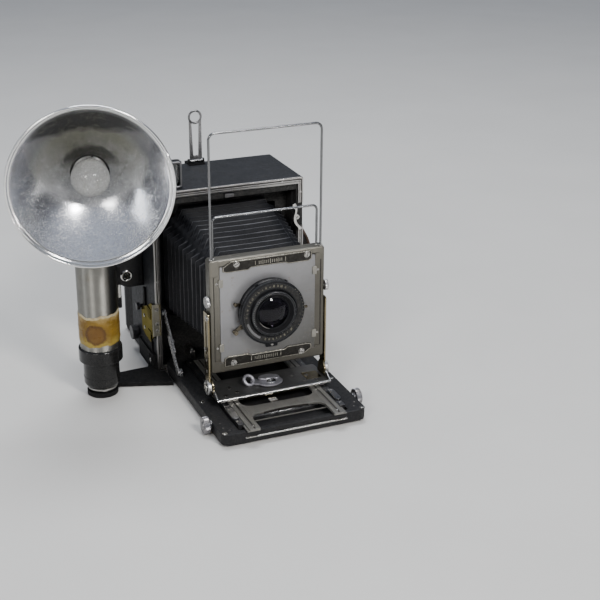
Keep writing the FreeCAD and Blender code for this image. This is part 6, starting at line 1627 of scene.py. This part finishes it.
# thin cross rod between the legs, in front of the cross-piece
slab(g, "x", [(-170.0, 13.95), (-169.2, 13.95), (-169.2, 14.85), (-170.0, 14.85)], -39.2, 39.2, 2, 0.2)
# small bright plate behind the cross-piece
slab(g, "z", round_rect(-8.6, -1.8, -143.4, -133.5, (0.6,) * 4, 2), 15.4, 16.0, 1, 0.1)
slab(g, "z", round_rect(-9.4, -1.0, -138.6, -133.0, (0.6,) * 4, 2), 15.6, 16.8, 4, 0.25)
# dark strip over the front wall of the cross-piece: painted shade
wl = [(24.0 - 4.0 * i, -159.0 + 2.2 * (1 - ((24.0 - 4.0 * i) / 24.0) ** 2)) for i in range(13)]
slab(g, "z", [(x, y - 0.3) for x, y in wl] + [(x, y + 0.5) for x, y in wl[::-1]], 14.5, 16.8, 1, 0.05)
make("track_plate", g, ["track_satin", "slot_dark", "track_ridge", "screw_metal", "tray_chrome"], "track", "focus_track", sharp=36)

# infinity stops
for nm, body, node, s in (("stop_pill_left", "stop_left", "infinity_stop_left", -1), ("stop_pill_right", "stop_right", "infinity_stop_right", 1)):
    g = Geo()
    slab(g, "z", capsule((s * 55, -144), (s * 55, -161.5), 3.5, 10), 17.2, 18.8, 0, 0.45)
    slab(g, "z", capsule((s * 55, -149), (s * 55, -160.5), 1.7, 8), 18.7, 18.95, 0, 0.1)
    cyl(g, (s * 55, -144, 16.96), (s * 55, -144, 17.4), 1.6, mat=1)
    screw(g, (s * 55, -144, 18.55), (0, 0, 1), 2.2, 0.38, 0.9, 1, 2)
    make(nm, g, ["pill_grey" if s < 0 else "pill_dark", "screw_metal", "slot_dark"], body, node, sharp=38)

# carriage
g = Geo()
slab(g, "z", round_rect(-50, 50, -128, -88, (3, 3, 3, 3)), 17.3, 19.3, 0, 0.35)
for s in (-1, 1):
    a, b = sorted((s * 36.6, s * 38.6))
    box(g, a, b, -111, -97, 12.7, 17.5, 0)
    a, b = sorted((s * 36.6, s * 41.2))
    box(g, a, b, -111, -97, 12.7, 14.2, 0)
    screw(g, (s * 44, -92.5, 19.2), (0, 0, 1), 1.6, 0.35, 1.0, 1, 2)
cyl(g, (2, -110, 19.2), (2, -110, 26.4), 3.0, mat=1)
make("carriage_plate", g, ["track_grey", "steel", "slot_dark"], "carriage", "standard_carriage", sharp=38)

# lock lever: broad grey oval with a raised thumb pad, a thick ring-shaped handle and a bright screw cap
g = Geo()
el = lambda cx, cy, a_, b_, n=48: [(cx + a_ * math.cos(TAU * i / n), cy + b_ * math.sin(TAU * i / n)) for i in range(n)]
slab(g, "z", el(2, -110, 13.4, 11.0), 21.8, 24.4, 0, 1.0)
slab(g, "z", inset(el(2, -110, 13.4, 11.0), 1.7), 24.2, 24.9, 0, 0.45)
slab(g, "z", el(0.5, -105.4, 9.6, 5.4), 24.4, 27.2, 0, 1.2)
slab(g, "z", el(9.2, -106.6, 4.2, 4.6, 32), 24.4, 26.6, 0, 1.0)
# neck
slab(g, "z", soft([(-7, -115.5), (-15.6, -110.6), (-17.5, -103.0), (-12.0, -100.6), (-4, -102.2)], 1.6, 3, True), 21.85, 24.3, 0, 0.7)
rev(g, (-19.4, -105.6, 26.2), (0.22, -0.68, 0.70), soft([(3.7, -1.5), (6.0, -1.7), (7.1, -0.3), (6.5, 1.4), (4.6, 1.8), (3.5, 0.3)], 0.6, 3, True), 48, 0, close=True)
rev(g, (2.5, -112.8, 24.7), (0, 0, 1), soft([(0, 0), (5.2, 0), (5.2, 0.7), (4.6, 1.35), (2.6, 1.45), (2.4, 1.1), (0, 1.1)], 0.15, 2), 48, 1)
for k in range(2):
    a = rad(30 + 180 * k)
    rev(g, (2.5 + 3.6 * math.cos(a), -112.8 + 3.6 * math.sin(a), 25.95), (0, 0, 1), [(0, 0), (0.65, 0), (0.6, 0.1), (0, 0.1)], 12, 2)
make("lock_handle", g, ["lever_lavender", "chrome", "slot_dark"], "lock", "lock_lever", sharp=45)

# tray: dark plate with chromed front roll, side cheeks and screws
g = Geo()
pl = round_rect(-61.6, 61.6, -129.2, -85, (3, 3, 0.6, 0.6))
slab(g, "z", pl, 19.62, 21.2, 0, 0.25)
front = [(-61.6, -129.5, 21.3)] + [(-61.2 + 122.4 * i / 30, -129.6, 21.25) for i in range(31)] + [(61.6, -129.5, 21.3)]
tube(g, front, 1.25, 18, 1)
slab(g, "y", [(-61.7, 19.2), (61.7, 19.2), (61.7, 20.9), (-61.7, 20.9)], -130.2, -128.9, 1, 0.3)
slab(g, "y", [(-34, 17.6), (30, 17.6), (30, 19.7), (-34, 19.7)], -129.8, -128.6, 2, 0.25)
slab(g, "z", round_rect(-58.5, 58.5, -126.6, -98.0, (2, 2, 1.4, 1.4)), 21.0, 21.45, 0, 0.2)
for s in (-1, 1):
    out = [(-117.5, 20.9), (-117.5, 24.0)] + [(-108 + 8.4 * math.cos(rad(a)), 28.3 + 8.4 * math.sin(rad(a))) for a in range(200, -21, -20)] + [(-98.5, 24.0), (-98.5, 20.9)]
    slab(g, "x", out, s * 60.2, s * 61.8, 2, 0.3)
    slab(g, "x", [(-129.6, 20.2), (-129.6, 22.6), (-120.5, 27.4), (-117.0, 27.6), (-117.0, 20.2)], s * 60.4, s * 61.8, 1, 0.3)
    cyl(g, (s * 61.5, -108, 27.3), (s * 66.9, -108, 27.3), 2.0, mat=3)
    screw(g, (s * 66.3, -108, 27.3), (s, 0, 0), 4.2, 0.9, 0.9, 3, 4, 0.10)
for k, (x, y) in enumerate(((-50, -121.5), (-41, -106), (-36.5, -117.5), (50, -121.5), (43.0, -108.5), (37.5, -117.5), (28.5, -104))):
    screw(g, (x, y, 21.35), (0, 0, 1), 1.9, 0.75, 0.8 * k, 3, 4)
slab(g, "z", round_rect(40, 57, -118, -101, (1, 1, 1, 1), 3), 21.3, 21.62, 2, 0.15)
make("tray_plate", g, ["gunmetal", "tray_chrome", "frame_side", "screw_metal", "slot_dark", "tab_light"], "base", "standard_base", sharp=40)


# ------------------------------------------------------------------ carried-over CAD nodes
CAD = {
    "body_box": ("body_leather", 0.6), "front_trim": ("trim_silver", 0.2), "hinge_pin": ("steel", 0.2), "corner_bracket": ("chrome", 0.25),
    "hand_strap": ("strap_brown", 0.5), "strap_plates": ("chrome", 0.25), "viewfinder_housing": ("black_alloy", 0.3), "finder_glass": ("clear_glass", 0.1),
    "rangefinder_housing": ("black_satin", 0.4), "shutter_box": ("dark_wood", 0.3), "shutter_curtain": ("curtain_cloth", 0), "back_frame": ("black_crackle", 0.4),
    "flash_bracket": ("black_crackle", 0.4), "bellows": ("bellows_leather", 0), "peep_sight": ("steel", 0.15), "winding_key": ("black_alloy", 0.25),
    "tension_knob": ("black_alloy", 0.2), "release_button": ("black_alloy", 0.25), "ground_glass_frame": ("black_satin", 0.4), "ground_glass": ("frosted", 0.2),
    "hood_cover": ("black_satin", 0.5), "body_release_lever": ("chrome", 0.3), "bed_catch": ("pill_dark", 0.2), "bed_board": ("bed_wrinkle", 0.4),
    "bed_rails": ("track_grey", 0.25), "upper_struts": ("strut_silver", 0.2), "lower_struts": ("strut_silver", 0.2), "pinion_shaft": ("steel", 0.05),
    "focusing_knobs": ("knob_metal", 0.12), "focus_track": ("track_grey", 0.2), "infinity_stop_left": ("chrome", 0.25), "infinity_stop_right": ("chrome", 0.25),
    "standard_carriage": ("track_grey", 0.2), "lock_lever": ("lever_metal", 0.4), "standard_base": ("gunmetal", 0.25), "standard_uprights": ("frame_side", 0.2),
    "front_frame": ("frame_beige", 0.35), "lens_board": ("board_grey", 0.3), "shutter_case": ("shutter_black", 0.25), "lens_barrel": ("shutter_black", 0.2),
    "lens_glass": ("lens_coated", 0), "shutter_blades": ("blade_black", 0.05), "slide_screws": ("screw_metal", 0.12), "board_slide_upper": ("slide_dark", 0.25),
    "board_slide_lower": ("slide_dark", 0.25), "rise_knobs": ("knob_metal", 0.1), "wire_finder": ("wire_steel", 0), "wire_mask": ("wire_steel", 0),
    "speed_ring": ("shutter_black", 0.12), "cocking_lever": ("chrome", 0.15), "release_lever": ("chrome", 0.15), "aperture_lever": ("chrome", 0.15),
    "battery_case": ("brushed_tube", 0.3), "batteries": ("cell_jacket", 0.4), "flash_head": ("brushed_tube", 0.4), "reflector": ("reflector_bright", 0),
    "flash_bulb": ("bulb_clear", 0), "ejector_button": ("black_gloss", 0.3), "trigger_button": ("red_plastic", 0.3), "end_cap": ("black_gloss", 0.4),
}
EDGES = {"black_crackle": "edge_worn", "slide_dark": "slide_edge", "black_satin": "edge_worn", "black_alloy": "edge_worn", "shutter_black": "shutter_worn"}
stood = {n for o in bpy.data.objects for n in o.get("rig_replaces", [])}
for n, (k, b) in CAD.items():
    if n not in stood:
        cad(n, k, b, edge=EDGES.get(k) if b else None)
